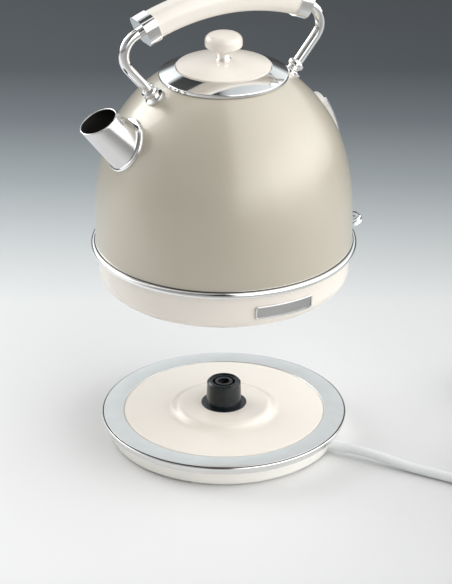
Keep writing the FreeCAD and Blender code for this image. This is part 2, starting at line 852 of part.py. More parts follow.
def biarc(start, first, end, last):
    """Two arcs that leave start along one heading and reach end along another."""
    chord = end - start
    bend = 2 * (1 - first.dot(last))
    lean = chord.dot(first + last)
    square = chord.dot(chord)
    reach = square / (lean + math.sqrt(lean * lean + bend * square))
    middle = (start + end + (first - last) * reach) / 2
    along = unit(middle - start)
    turned = along * (2 * first.dot(along)) - first
    return [arc_from(start, first, middle), arc_from(middle, turned, end)]


def cord_coil():
    quarter = 0.25
    steps = math.ceil(number(s.coil_turns) / quarter)
    lead = LEAD_ROUTE[-1]
    spot, heading = coil_point(0), lead_heading
    edges = [Part.LineSegment(lead, spot).toShape()]
    for step in range(1, steps + 1):
        turns = number(s.coil_turns) * step / steps
        next_spot, next_heading = coil_point(turns), coil_heading(turns)
        edges += biarc(spot, heading, next_spot, next_heading)
        spot, heading = next_spot, next_heading
    end = spot + heading * number(s.cord_diameter)
    edges.append(Part.LineSegment(spot, end).toShape())
    wire = Part.Wire(edges)
    step_length = 2.0
    points = wire.discretize(Distance=step_length)
    beyond = round(3 * number(s.cord_diameter) / step_length)
    gap = min((points[i] - points[j]).Length
              for i in range(len(points)) for j in range(i + beyond, len(points)))
    note = f"self gap {gap - number(s.cord_diameter):.2f}"
    cord_piece("cord_coil", wire, lead, lead_heading, note)
    return end, heading


def plug_rise(tail_height):
    """Angle at which the plug leans on the back edge of its head, its tail held at a height."""
    head, back = number(s.plug_head_radius), number(s.plug_length - s.plug_head_length)
    return math.atan2(head, back) - math.asin((tail_height - PLUG_FLOOR_GAP) / math.hypot(head, back))


def cord_tail(start, heading):
    """From the top of the coil down to the table and up into the plug's tail."""
    ahead = unit(Vector(heading.x, heading.y, 0))
    aside = Vector(ahead.y, -ahead.x, 0)
    route = [start, start + heading * TAIL_FIRST_RUN]
    for forward, sideways, height in TAIL_STEPS:
        point = start + ahead * forward + aside * sideways
        route.append(Vector(point.x, point.y, height))
    level = unit(Vector(route[-1].x - route[-2].x, route[-1].y - route[-2].y, 0))
    rise = plug_rise(PLUG_TAIL_HEIGHT)
    way = level * math.cos(rise) + Z_AXIS * math.sin(rise)
    route.append(route[-1] + way * TAIL_LAST_RUN)
    routed_cord("cord_tail", route)
    return route[-1], way


def strap(low, high, way, size, width):
    """Hull of two cord sections of a size, as a prism along the cords."""
    along = unit(high - low)
    side = way.cross(along) * size
    start = way * (-width / 2)
    corners = [low + start - side, low + start + side, high + start + side, high + start - side]
    edges = [Part.LineSegment(corners[1], corners[2]).toShape(),
             Part.Arc(corners[2], high + start + along * size, corners[3]).toShape(),
             Part.LineSegment(corners[3], corners[0]).toShape(),
             Part.Arc(corners[0], low + start - along * size, corners[1]).toShape()]
    return Part.Face(Part.Wire(edges)).extrude(way * width)


def cord_tie():
    """Flat strap round the two layers of the coil."""
    turn = 0.62
    low, high = coil_point(turn), coil_point(turn + 1)
    to_centre = coil_point(turn + 0.5) - low
    way = unit(Vector(-to_centre.y, to_centre.x, 0))
    inner = CORD_RADIUS + number(s.fit_gap)
    outer = inner + number(s.tie_sheet)
    width = number(s.tie_width)
    fixed_shape("cord_tie", strap(low, high, way, outer, width).cut(strap(low, high, way, inner, width)))


def plug(start, way):
    """Two-pin plug that lies on the back edge of its head, its pins side by side."""
    head_start = s.plug_length - s.plug_head_length
    lathe("plug_body", [
        (0, 0), (s.plug_tail_radius, 0), (s.plug_tail_radius + s.plug_round, s.plug_tail_length),
        (s.plug_head_radius - s.plug_shoulder, head_start - s.plug_shoulder),
        (s.plug_head_radius, head_start), (s.plug_head_radius, s.plug_length, s.plug_round),
        (0, s.plug_length)])
    pins = new_body("plug_pins")
    sketch = new_sketch(pins, "XY_Plane", (0, 0, s.plug_length))
    for side in (-1, 1):
        draw_circle(sketch, s.plug_pin_spacing * side / 2, 0, s.plug_pin_radius)
    extrude(pins, sketch, s.plug_pin_length)
    turn = Rotation(way.cross(Z_AXIS), Vector(), way, "ZXY")
    for label in ("plug_body", "plug_pins"):
        parts[label].Placement = FreeCAD.Placement(start, turn)


# kettle: underside

lever_slot_low = s.lever_height - s.lever_thickness / 2 - s.lever_slot_margin * 2
lever_slot_high = s.lever_height + s.lever_thickness / 2 + s.lever_slot_margin
cover_recess_top = s.derive("cover_recess_top", s.cover_recess_depth + s.cover_thickness)
socket_ceiling = s.derive("socket_ceiling", post_reach + s.socket_headroom)
socket_low = s.derive("socket_low", s.plateau_rise + s.post_flange_height + s.seat_gap)


def raised(body):
    """Lift a kettle piece to where the kettle is held."""
    return place(body, z=kettle_z)


def skirt_radius(height):
    """Outer radius of the skirt's straight side at a height."""
    return s.skirt_low_radius + (s.skirt_top_radius - s.skirt_low_radius) * height / s.skirt_height


def base_skirt():
    body = new_body("base_skirt")
    inner_round = s.skirt_round - s.skirt_wall * 2
    revolve(body, [
        (s.skirt_top_radius, s.skirt_height), (s.skirt_top_radius - s.skirt_wall, s.skirt_height),
        (s.skirt_low_radius - s.skirt_wall, skirt_floor, inner_round),
        (s.skirt_flange_radius, skirt_floor), (s.skirt_flange_radius, s.cover_thickness),
        (s.cover_radius + s.fit_gap, s.cover_thickness), (s.cover_radius + s.fit_gap, 0),
        (s.skirt_low_radius, 0, s.skirt_round)])
    boss = new_sketch(body, "XY_Plane", (0, 0, s.cover_thickness))
    draw_circle(boss, s.cover_screw_circle, 0, s.cover_boss_radius)
    boss_pad = extrude(body, boss, s.cover_boss_height)
    hole = new_sketch(body, "XY_Plane", (0, 0, s.cover_thickness))
    draw_circle(hole, s.cover_screw_circle, 0, s.screw_radius + s.screw_fit)
    hole_cut = extrude(body, hole, s.cover_boss_height, cut=True, reverse=True)
    pattern(body, [boss_pad, hole_cut], COVER_SCREWS)
    slot = new_sketch(body, "YZ_Plane")
    half = s.lever_width / 2 + s.lever_slot_margin
    draw_path(slot, box_corners(-half, half, lever_slot_low, lever_slot_high, s.lever_slot_margin))
    extrude(body, slot, cut=True, reverse=True)
    raised(body)


def bottom_cover():
    """Round cover with a raised middle that clears the plateau of the base."""
    body = new_body("bottom_cover")
    hole = socket_radius + s.fit_gap
    wall = s.cover_recess_radius + s.cover_thickness
    revolve(body, [
        (hole, s.cover_recess_depth), (s.cover_recess_radius, s.cover_recess_depth), (wall, 0),
        (s.cover_radius, 0), (s.cover_radius, s.cover_thickness),
        (wall + s.cover_thickness, s.cover_thickness), (wall, cover_recess_top),
        (hole, cover_recess_top)])
    holes = new_sketch(body, "XY_Plane")
    draw_circle(holes, s.cover_screw_circle, 0, s.screw_radius + s.screw_fit)
    cut = extrude(body, holes, cut=True, both=True)
    sinks = new_sketch(body, "XY_Plane")
    draw_circle(sinks, s.cover_screw_circle, 0, s.screw_head_radius + s.screw_fit)
    sink = extrude(body, sinks, s.screw_head_height, cut=True, reverse=True)
    pattern(body, [cut, sink], COVER_SCREWS)
    raised(body)


def connector_socket():
    """Cup that drops over the post, with the pin and the ring that enter its slots."""
    inner = s.post_radius + s.socket_gap
    mouth = s.socket_wall / 2
    pin_low = post_reach - s.post_dish_depth - s.slot_depth + s.socket_headroom * 2
    ring_out = s.socket_ring_radius + s.contact_sheet
    roof = socket_ceiling + s.socket_roof
    raised(lathe("connector_socket", [
        (0, pin_low), (s.socket_pin_radius, pin_low), (s.socket_pin_radius, socket_ceiling),
        (s.socket_ring_radius, socket_ceiling), (s.socket_ring_radius, pin_low), (ring_out, pin_low),
        (ring_out, socket_ceiling), (inner, socket_ceiling), (inner, socket_low + mouth),
        (inner + mouth, socket_low), (socket_radius, socket_low), (socket_radius, roof), (0, roof)]))


def control_unit():
    """Boil-dry and steam control round the socket, under the kettle's floor."""
    body = new_body("control_unit")
    low = floor_under - s.control_height
    revolve(body, box_corners(socket_radius + s.fit_gap, s.control_radius, low, floor_under))
    sides = new_sketch(body, "XY_Plane", (0, 0, low))
    flat = s.control_radius - s.tray_wall
    draw_path(sides, box_corners(flat, s.control_radius * 2, -s.control_radius, s.control_radius))
    pattern(body, [extrude(body, sides, s.control_height, cut=True, reverse=True)], 4)
    raised(body)


floor_rim = s.derive("floor_rim", neck_inner - s.floor_seal_width - s.fit_gap * 2)
floor_top = s.derive("floor_top", floor_under + s.floor_thickness)
floor_edge = s.derive("floor_edge", floor_under + s.floor_seal_height)


def heater_plate():
    inner = floor_rim - s.floor_thickness
    raised(lathe("heater_plate", [
        (0, floor_under), (floor_rim, floor_under), (floor_rim, floor_edge), (inner, floor_edge),
        (inner, floor_top, s.floor_thickness / 2), (0, floor_top)]))


def floor_seal():
    raised(lathe("floor_seal", box_corners(
        floor_rim + s.fit_gap, neck_inner - s.fit_gap, floor_under, floor_edge)))


def heating_element():
    """Sheathed heating tube pressed to the underside of the floor, open at the front."""
    body = new_body("heating_element")
    sketch = new_sketch(body, "XZ_Plane")
    draw_circle(sketch, s.element_radius, floor_under - s.element_tube_radius, s.element_tube_radius)
    sweep_round(body, sketch, "V_Axis", s.element_sweep)
    raised(body)


def steam_pipe():
    """Standpipe that leads steam from under the lid down to the control."""
    body = new_body("steam_pipe")
    sketch = new_sketch(body, "XY_Plane", (0, 0, floor_top))
    draw_circle(sketch, s.steam_pipe_place, 0, s.steam_pipe_radius)
    draw_circle(sketch, s.steam_pipe_place, 0, s.steam_pipe_radius - s.steam_pipe_wall)
    extrude(body, sketch, s.steam_pipe_length)
    raised(body)


# kettle: the dome's three tangent arcs, each centred on the normal where the last one ends

side_x = s.derive("side_x", s.dome_radius - s.foot_arc_radius
                  + (s.foot_arc_radius - s.side_arc_radius) * cos(s.foot_arc_angle))
side_z = s.derive("side_z", band_top
                  + (s.foot_arc_radius - s.side_arc_radius) * sin(s.foot_arc_angle))
crown_x = s.derive("crown_x", side_x
                   + (s.side_arc_radius - s.crown_arc_radius) * cos(s.side_arc_angle))
crown_z = s.derive("crown_z", side_z
                   + (s.side_arc_radius - s.crown_arc_radius) * sin(s.side_arc_angle))


def crown_height(radius, proud=0):
    """Height of the dome's crown, or of a skin parallel to it, at a distance from the axis."""
    reach = s.crown_arc_radius + proud
    across = radius - crown_x
    return crown_z + root(reach * reach - across * across)


def dome_point(angle, proud=0):
    """Point of the crown, or of a skin parallel to it, where its outward normal rises by an angle."""
    reach = s.crown_arc_radius + proud
    return crown_x + reach * cos(angle), crown_z + reach * sin(angle)


def dome_curve(top, proud=0, foot=0):
    """Corners of the dome's outline from its foot up to the point top."""
    side_reach = s.side_arc_radius + proud
    return [Corner(s.dome_radius + proud, band_top + foot, arc=s.foot_arc_radius + proud),
            Corner(side_x + side_reach * cos(s.foot_arc_angle),
                   side_z + side_reach * sin(s.foot_arc_angle), arc=side_reach),
            Corner(*dome_point(s.side_arc_angle, proud), arc=s.crown_arc_radius + proud),
            Corner(*top)]


def backwards(corners):
    """The same outline run the other way."""
    turned = [Corner(corners[-1].x, corners[-1].y)]
    for corner in reversed(corners[:-1]):
        turned[-1].arc = -corner.arc
        turned.append(Corner(corner.x, corner.y))
    return turned


mouth_height = s.derive("mouth_height", crown_height(s.mouth_radius))
spout_seat = dome_point(s.spout_seat_angle)
stud_seat = dome_point(s.stud_seat_angle)
gauge_low = s.derive("gauge_low", side_z + s.side_arc_radius * sin(s.gauge_low_angle))
gauge_high = s.derive("gauge_high", crown_z + s.crown_arc_radius * sin(s.gauge_high_angle))
# heights of the lid, over the dome's mouth
lip_low = s.derive("lip_low", crown_height(s.lid_lip_radius) + s.fit_gap * 2)
lip_top = s.derive("lip_top", lip_low + s.lid_lip_height)
rim_under = s.derive("rim_under", mouth_height + s.fit_gap * 2)
rim_top = s.derive("rim_top", lip_top + s.lid_cap_step)
cap_radius = s.derive("cap_radius", s.lid_cap_radius - s.fit_gap)
cap_edge = s.derive("cap_edge", rim_top + s.lid_cap_edge)
cap_top = s.derive("cap_top", cap_edge + s.lid_cap_crown)
flange_top = s.derive("flange_top", rim_top - s.lid_sheet * 1.75)
stem_top = s.derive("stem_top", cap_top + s.knob_stem_height)
knob_top = s.derive("knob_top", stem_top + s.knob_height)
lid_flange_low = s.derive("lid_flange_low", rim_under - s.lid_flange_height)


def lean(obj, seat, angle, side):
    """Stand an object on the dome, its Z axis rising by an angle to the front (-1) or rear (+1)."""
    place(obj, seat[0] * side, 0, kettle_z + seat[1], Y_AXIS * side, 90.0 - angle)


def round_hole(body, seat, angle, side, radius, depth):
    """Round hole through the dome's wall along an axis that leans to the front or the rear."""
    sketch = new_sketch(body, "XY_Plane", (seat[0] * side, 0, seat[1]), Y_AXIS * side, 90.0 - angle)
    draw_circle(sketch, 0, 0, radius)
    extrude(body, sketch, depth, cut=True, both=True)


def body_shell():
    """Dome with a stepped-in neck, rolled in at the bottom to carry the floor."""
    body = new_body("body_shell")
    lip = neck_inner - s.neck_lip
    lip_under = floor_under - s.dome_wall
    mouth_under = crown_height(s.mouth_radius, -s.dome_wall)
    revolve(body, [Corner(lip, lip_under), Corner(neck_radius, lip_under), Corner(neck_radius, band_top)]
            + dome_curve((s.mouth_radius, mouth_height))
            + backwards(dome_curve((s.mouth_radius, mouth_under), -s.dome_wall, s.dome_wall))
            + [Corner(neck_inner, band_top + s.dome_wall), Corner(neck_inner, floor_under),
               Corner(lip, floor_under)])
    bore = s.spout_root_radius - s.spout_wall * 2
    round_hole(body, spout_seat, s.spout_rise_angle, -1, bore, s.spout_length)
    for side in (-1, 1):
        round_hole(body, stud_seat, s.stud_seat_angle, side, s.stud_bolt_radius + s.screw_fit,
                   s.stud_bolt_length)
    window = new_sketch(body, "YZ_Plane")
    half = s.gauge_width / 2 - s.gauge_frame_width
    inset = s.gauge_frame_width * 2
    draw_path(window, box_corners(-half, half, gauge_low + inset, gauge_high - inset, half / 2))
    extrude(body, window, cut=True, reverse=True)
    raised(body)


def trim_band():
    """Bright bead between the skirt and the dome."""
    inner = neck_radius + s.fit_gap
    low, high = s.skirt_height, band_top
    low_lip = s.skirt_top_radius + s.band_step
    high_lip = s.dome_radius + s.band_lip
    raised(lathe("trim_band", [
        (inner, low), (low_lip, low), (low_lip, low + s.band_edge),
        (s.band_bead_radius, low + s.band_edge, s.band_round),
        (s.band_bead_radius, high - s.band_edge, s.band_round),
        (high_lip, high - s.band_edge), (high_lip, high), (inner, high)]))


# kettle: spout

def tool_body(label, entries):
    """Turned solid that other pieces are cut to."""
    body = doc.addObject("PartDesign::Body", label)
    revolve(body, entries)
    return body


def spout_radius(height):
    """Outer radius of the tapered spout at a distance from the dome along its axis."""
    taper = (s.spout_root_radius - s.spout_mouth_radius) / s.spout_cut_reach
    return s.spout_root_radius - taper * height


def cut_from(base, tool, label):
    result = doc.addObject("Part::Cut", label)
    result.Base, result.Tool = base, tool
    return result


def dome_core():
    """Solid inside a skin one fit clear of the dome, which the spout and its collar are cut to."""
    top = crown_height(s.mouth_radius, s.fit_gap)
    return raised(tool_body("dome_core", [Corner(0, band_top)]
                            + dome_curve((s.mouth_radius, top), s.fit_gap) + [Corner(0, top)]))


def spout_outline(inner_step, outer_step):
    """Corners of the spout's tapered wall between two distances from its outer skin."""
    low, high = -s.spout_sink, s.spout_length
    return [(spout_radius(low) + inner_step, low), (spout_radius(low) + outer_step, low),
            (spout_radius(high) + outer_step, high), (spout_radius(high) + inner_step, high)]


def spout():
    """Tapered tube with a slanted mouth, its root cut to the dome."""
    blank = tool_body("spout_blank", spout_outline(-s.spout_wall, 0))
    mouth = new_sketch(blank, "XZ_Plane")
    reach = s.spout_root_radius * 2
    slant = reach * tan(s.spout_cut_angle)
    draw_path(mouth, [
        (-reach, s.spout_cut_reach + slant), (reach, s.spout_cut_reach - slant),
        (reach, s.spout_length * 2), (-reach, s.spout_length * 2)])
    extrude(blank, mouth, cut=True, both=True)
    lean(blank, spout_seat, s.spout_rise_angle, -1)
    keep(cut_from(blank, dome_core(), "spout"), "spout")


def spout_collar():
    """Bright ring round the spout's root, cut to the spout and to the dome."""
    blank = tool_body("collar_blank", [
        (0, -s.collar_sink), (s.collar_radius, -s.collar_sink),
        (s.collar_radius, s.collar_height, s.collar_round), (0, s.collar_height)])
    lean(blank, spout_seat, s.spout_seat_angle, -1)
    core = tool_body("spout_core", [
        (0, -s.spout_sink), (spout_radius(-s.spout_sink) + s.fit_gap, -s.spout_sink),
        (spout_radius(s.spout_length) + s.fit_gap, s.spout_length), (0, s.spout_length)])
    lean(core, spout_seat, s.spout_rise_angle, -1)
    ring = cut_from(blank, core, "collar_ring")
    keep(cut_from(ring, dome_core(), "spout_collar"), "spout_collar")


def spout_filter():
    """Pierced disc in the spout's root."""
    body = new_body("spout_filter")
    radius = spout_radius(s.filter_place + s.filter_thickness) - s.spout_wall - s.fit_gap
    disc = new_sketch(body, "XY_Plane", (0, 0, s.filter_place))
    draw_circle(disc, 0, 0, radius)
    draw_circle(disc, 0, 0, s.filter_hole_radius)
    extrude(body, disc, s.filter_thickness)
    hole = new_sketch(body, "XY_Plane", (0, 0, s.filter_place))
    draw_circle(hole, s.filter_hole_circle, 0, s.filter_hole_radius)
    pattern(body, [extrude(body, hole, s.filter_thickness, cut=True, reverse=True)], 6)
    lean(body, spout_seat, s.spout_rise_angle, -1)


# kettle: handle, the same at the front (-1) and at the rear (+1)

SIDE_NAMES = {-1: "front", 1: "rear"}
stud_top = s.derive("stud_top", s.stud_flange_height + s.stud_bulb_height)
grip_centre = s.derive("grip_centre", knob_top + s.grip_clearance + s.grip_height / 2
                       - s.grip_arc_radius)
grip_end_angle = s.derive("grip_end_angle", s.grip_half_angle + s.ferrule_angle)
rod_turn = s.derive("rod_turn", 180.0 - grip_end_angle - s.stud_seat_angle)
# the rod's corner, from the stud's seat along the stud and from the grip's end along its tangent
to_grip_x = s.derive("to_grip_x", s.grip_arc_radius * sin(grip_end_angle) - stud_seat[0])
to_grip_z = s.derive("to_grip_z", grip_centre + s.grip_arc_radius * cos(grip_end_angle) - stud_seat[1])
rod_rise = s.derive("rod_rise", (to_grip_x * sin(grip_end_angle) + to_grip_z * cos(grip_end_angle))
                    / sin(grip_end_angle + s.stud_seat_angle))
rod_return = s.derive("rod_return", (to_grip_z * cos(s.stud_seat_angle) - to_grip_x * sin(s.stud_seat_angle))
                      / sin(grip_end_angle + s.stud_seat_angle))


def handle_stud(side):
    half_flange = s.stud_flange_height / 2
    waist_top = s.stud_flange_height + half_flange / 2
    body = lathe(f"{SIDE_NAMES[side]}_handle_stud", [
        (0, -s.stud_bolt_length), (s.stud_bolt_radius, -s.stud_bolt_length), (s.stud_bolt_radius, 0),
        (s.stud_flange_radius, 0), (s.stud_flange_radius, half_flange),
        (s.stud_waist_radius, s.stud_flange_height), (s.stud_waist_radius, waist_top),
        (s.stud_bulb_radius, waist_top + half_flange, s.stud_round),
        (s.stud_bulb_radius, stud_top - half_flange, s.stud_round),
        (s.rod_radius + s.fit_gap, stud_top), (0, stud_top)])
    lean(body, stud_seat, s.stud_seat_angle, side)


def stud_nut(side):
    """Six-sided nut on the stud's bolt, inside the dome."""
    body = new_body(f"{SIDE_NAMES[side]}_stud_nut")
    sketch = new_sketch(body, "XY_Plane", (0, 0, -s.dome_wall - s.fit_gap))
    draw_path(sketch, [(s.nut_radius * cos(60.0 * i + 30.0), s.nut_radius * sin(60.0 * i + 30.0))
                       for i in range(6)])
    draw_circle(sketch, 0, 0, s.stud_bolt_radius + s.screw_fit)
    extrude(body, sketch, s.nut_height, reverse=True)
    lean(body, stud_seat, s.stud_seat_angle, side)


def handle_arm(side):
    """Round rod from the stud up and back to the end of the grip."""
    body = new_body(f"{SIDE_NAMES[side]}_handle_arm")
    way = new_sketch(body, "XZ_Plane")
    draw_path(way, [
        Corner(0, stud_top), Corner(0, rod_rise, s.rod_bend_radius),
        Corner(rod_return * sin(rod_turn) * -side, rod_rise + rod_return * cos(rod_turn))], closed=False)
    section = new_sketch(body, "XY_Plane", (0, 0, stud_top))
    draw_circle(section, 0, 0, s.rod_radius)
    rod = body.newObject("PartDesign::AdditivePipe", f"{body.Name}_rod")
    rod.Profile = section
    rod.Spine = (way, [])
    lean(body, stud_seat, s.stud_seat_angle, side)


def grip_section(sketch, step=0):
    """Rounded section of the grip, at its arc's radius above the sketch's origin."""
    half_width, half_height = s.grip_width / 2 + step, s.grip_height / 2 + step
    draw_path(sketch, box_corners(-half_width, half_width, s.grip_arc_radius - half_height,
                                  s.grip_arc_radius + half_height, s.grip_round))


def handle_grip():
    body = new_body("handle_grip")
    sketch = new_sketch(body, "YZ_Plane")
    grip_section(sketch)
    sweep_round(body, sketch, "H_Axis", s.grip_half_angle * 2)
    place(body, z=kettle_z + grip_centre)


def ferrule(side):
    """Bright end piece between the grip and the rod."""
    body = new_body(f"{SIDE_NAMES[side]}_ferrule")
    sketch = new_sketch(body, "YZ_Plane", axis=X_AXIS * side, angle=s.grip_half_angle)
    grip_section(sketch, s.ferrule_step)
    sweep_round(body, sketch, "H_Axis", s.ferrule_angle, both=False, reverse=side < 0)
    place(body, z=kettle_z + grip_centre)


# kettle: water gauge, badge place and switch

def gauge_strip(label, margin, height):
    """Strip that follows the dome at the rear, trimmed to a rounded oblong seen from the rear."""
    body = new_body(label)
    beyond = 4.0
    sector = 14.0
    top = s.gauge_high_angle + beyond
    outline = dome_curve(dome_point(top, height), height)
    under = dome_curve(dome_point(top, s.fit_gap), s.fit_gap)
    revolve(body, outline + backwards(under), sector)
    trim = new_sketch(body, "YZ_Plane")
    half = s.gauge_width / 2 - margin
    wide, tall = s.gauge_width * 2, s.gauge_width * 4
    draw_path(trim, box_corners(-wide, wide, gauge_low - tall, gauge_high + tall))
    draw_path(trim, box_corners(-half, half, gauge_low + margin, gauge_high - margin,
                                s.gauge_round - margin))
    extrude(body, trim, cut=True, reverse=True)
    raised(body)
    return body


def gauge_frame():
    body = gauge_strip("gauge_frame", 0, s.gauge_frame_height)
    margin = s.gauge_frame_width
    opening = new_sketch(body, "YZ_Plane")
    half = s.gauge_width / 2 - margin
    draw_path(opening, box_corners(-half, half, gauge_low + margin, gauge_high - margin,
                                   s.gauge_round - margin))
    extrude(body, opening, cut=True, reverse=True)


def badge_plate():
    """Bare framed plate on the front of the skirt."""
    body = new_body("badge_plate")
    low, high = s.badge_low, s.badge_low + s.badge_height
    under, over = s.fit_gap, s.fit_gap + s.badge_thickness
    revolve(body, [
        (skirt_radius(low) + under, low), (skirt_radius(low) + over, low),
        (skirt_radius(high) + over, high), (skirt_radius(high) + under, high)], s.badge_arc, -90.0)
    low, high = low + s.badge_frame, high - s.badge_frame
    under = over - s.badge_recess
    revolve(body, [
        (skirt_radius(low) + under, low), (skirt_radius(low) + over * 2, low),
        (skirt_radius(high) + over * 2, high), (skirt_radius(high) + under, high)],
        s.badge_arc - s.badge_frame_angle * 2, -90.0, cut=True)
    raised(body)


def cross_cylinder(body, radius, half_length):
    """Cylinder along the body's Y axis, evenly to both sides."""
    sketch = new_sketch(body, "XZ_Plane")
    draw_circle(sketch, 0, 0, radius)
    return extrude(body, sketch, half_length * 2, both=True)


def at_hinge(body, angle=0):
    place(body, s.lever_place, 0, kettle_z + s.lever_height, -Y_AXIS, angle)


def switch_lever():
    """Clear paddle on a hinge boss, which rises a little at rest."""
    body = new_body("switch_lever")
    cross_cylinder(body, s.lever_boss_radius, s.bracket_half_width - s.fit_gap)
    paddle = new_sketch(body, "XY_Plane")
    half = s.lever_width / 2
    draw_path(paddle, [Corner(0, -half), Corner(s.lever_reach, -half, s.lever_round),
                       Corner(s.lever_reach, half, s.lever_round), Corner(0, half)])
    extrude(body, paddle, s.lever_thickness, both=True)
    hole = new_sketch(body, "XZ_Plane")
    draw_circle(hole, 0, 0, s.lever_pin_radius + s.fit_gap)
    extrude(body, hole, cut=True, both=True)
    at_hinge(body, s.lever_rise_angle)


def switch_pin():
    body = new_body("switch_pin")
    cross_cylinder(body, s.lever_pin_radius, s.bracket_half_width + s.bracket_thickness)
    at_hinge(body)


def switch_bracket():
    """Web that stands on the skirt's floor, with two cheeks that hold the switch's pin."""
    body = new_body("switch_bracket")
    inner, outer = s.bracket_half_width, s.bracket_half_width + s.bracket_thickness
    front_of_web = s.bracket_back + s.bracket_thickness
    web = new_sketch(body, "XY_Plane", (0, 0, skirt_floor))
    draw_path(web, box_corners(s.bracket_back, front_of_web, -outer, outer))
    extrude(body, web, s.bracket_top - skirt_floor)
    cheeks = new_sketch(body, "XY_Plane", (0, 0, s.bracket_low))
    for y_low, y_high in ((-outer, -inner), (inner, outer)):
        draw_path(cheeks, box_corners(s.bracket_back, s.bracket_front, y_low, y_high))
    extrude(body, cheeks, s.bracket_top - s.bracket_low)
    pin_hole = new_sketch(body, "XZ_Plane")
    draw_circle(pin_hole, s.lever_place, s.lever_height, s.lever_pin_radius + s.fit_gap)
    extrude(body, pin_hole, cut=True, both=True)
    sight = new_sketch(body, "YZ_Plane")
    draw_circle(sight, 0, s.lever_height, s.lamp_radius - s.fit_gap)
    extrude(body, sight, cut=True, reverse=True)
    raised(body)


def indicator_lamp():
    """Small lamp behind a hole in the bracket's web."""
    body = new_body("indicator_lamp")
    sketch = new_sketch(body, "YZ_Plane", (0, 0, s.bracket_back - s.lamp_length))
    draw_circle(sketch, 0, s.lever_height, s.lamp_radius)
    extrude(body, sketch, s.lamp_length)
    raised(body)


# lid

def lid_rim():
    """Bright sloping ring that rests over the kettle's mouth."""
    raised(lathe("lid_rim", [
        (s.lid_lip_radius, lip_low), (s.lid_lip_radius, lip_top, s.lid_sheet / 2),
        (s.lid_cap_radius, rim_top), (s.lid_cap_radius, rim_top - s.lid_sheet),
        (s.lid_plug_radius, rim_under), (s.mouth_radius, rim_under)]))


def lid_cap():
    """Cream crown that comes up through the rim, on a flange under it."""
    flange_radius = cap_radius + s.lid_cap_flange
    flange_low = flange_top - s.lid_sheet
    hole = s.knob_screw_radius + s.screw_fit
    seat = s.knob_stem_radius + s.lid_sheet
    crown = ((cap_radius - seat) * (cap_radius - seat) + s.lid_cap_crown * s.lid_cap_crown) \
        / (s.lid_cap_crown * 2)
    inner = cap_radius - s.lid_sheet
    raised(lathe("lid_cap", [
        Corner(flange_radius, flange_low), Corner(flange_radius, flange_top),
        Corner(cap_radius, flange_top), Corner(cap_radius, cap_edge, arc=crown),
        Corner(seat, cap_top), Corner(hole, cap_top), Corner(hole, cap_top - s.lid_sheet),
        Corner(seat, cap_top - s.lid_sheet, arc=-crown), Corner(inner, cap_edge - s.lid_sheet),
        Corner(inner, flange_low)]))


def lid_plug():
    """Cup under the rim that goes down into the mouth."""
    inner = s.lid_plug_radius - s.lid_sheet
    low = rim_under - s.lid_plug_depth
    raised(lathe("lid_plug", [
        (0, low), (s.lid_plug_radius, low), (s.lid_plug_radius, lid_flange_low),
        (s.lid_flange_radius, lid_flange_low), (s.lid_flange_radius, rim_under),
        (s.lid_plug_radius, rim_under), (inner, rim_under - s.lid_sheet), (inner, low + s.lid_sheet),
        (0, low + s.lid_sheet)]))


def lid_seal():
    raised(lathe("lid_seal", box_corners(
        s.lid_plug_radius + s.fit_gap, s.lid_flange_radius, lid_flange_low - s.lid_seal_height,
        lid_flange_low)))


def knob_stem():
    hole = s.knob_screw_radius + s.screw_fit
    raised(lathe("knob_stem", box_corners(hole, s.knob_stem_radius, cap_top, stem_top)))


def lid_knob():
    hole = s.knob_screw_radius + s.screw_fit
    depth = stem_top + s.knob_screw_grip + s.fit_gap
    raised(lathe("lid_knob", [
        (hole, stem_top), (s.knob_stem_radius + s.lid_sheet, stem_top),
        (s.knob_radius, stem_top + s.knob_round, s.knob_round / 2),
        (s.knob_radius, knob_top, s.knob_round), (0, knob_top), (0, depth), (hole, depth)]))


def knob_screw():
    """Screw from inside the lid up through the stem into the knob."""
    seat = cap_top - s.lid_sheet
    head_low = seat - s.knob_screw_head_height
    tip = stem_top + s.knob_screw_grip
    raised(lathe("knob_screw", [
        (0, head_low), (s.knob_screw_head_radius, head_low), (s.knob_screw_head_radius, seat),
        (s.knob_screw_radius, seat), (s.knob_screw_radius, tip), (0, tip)]))


def build_base():
    base_tray()
    base_trim_ring()
    base_top_plate()
    screw_set("base_screws", s.base_screw_circle, BASE_SCREWS, tray_under - s.screw_head_height,
              plate_under - tray_under)
    base_pads()
    connector_post()
    post_contacts()
    terminal_block()
    inner_lead()
    strain_relief()
    routed_cord("cord_lead", LEAD_ROUTE)
    plug(*cord_tail(*cord_coil()))
    cord_tie()


def build_kettle():
    base_skirt()
    bottom_cover()
    raised(screw_set("cover_screws", s.cover_screw_circle, COVER_SCREWS, Size(0.0, "0"),
                     s.cover_boss_height))
    connector_socket()
    control_unit()
    heater_plate()
    floor_seal()
    heating_element()
    steam_pipe()
    trim_band()
    body_shell()
    spout()
    spout_collar()
    spout_filter()
    for side in SIDE_NAMES:
        handle_stud(side)
        stud_nut(side)
        handle_arm(side)
        ferrule(side)
    handle_grip()
    gauge_frame()
    gauge_strip("gauge_window", s.gauge_frame_width + s.fit_gap, s.gauge_window_height)
    badge_plate()
    switch_lever()
    switch_pin()
    switch_bracket()
    indicator_lamp()


def build_lid():
    lid_rim()
    lid_cap()
    lid_plug()
    lid_seal()
    knob_stem()
    lid_knob()
    knob_screw()


build_base()
build_kettle()
build_lid()
doc.recompute()
for item in doc.Objects:
    assert not {"Invalid", "Error"} & set(item.State), f"{item.Label}: {item.State}"
for label, item in parts.items():
    assert not item.Shape.isNull() and item.Shape.isValid(), label
    item.Shape.exportStep(f"parts/{label}.step")
print(f"{len(parts)} parts")
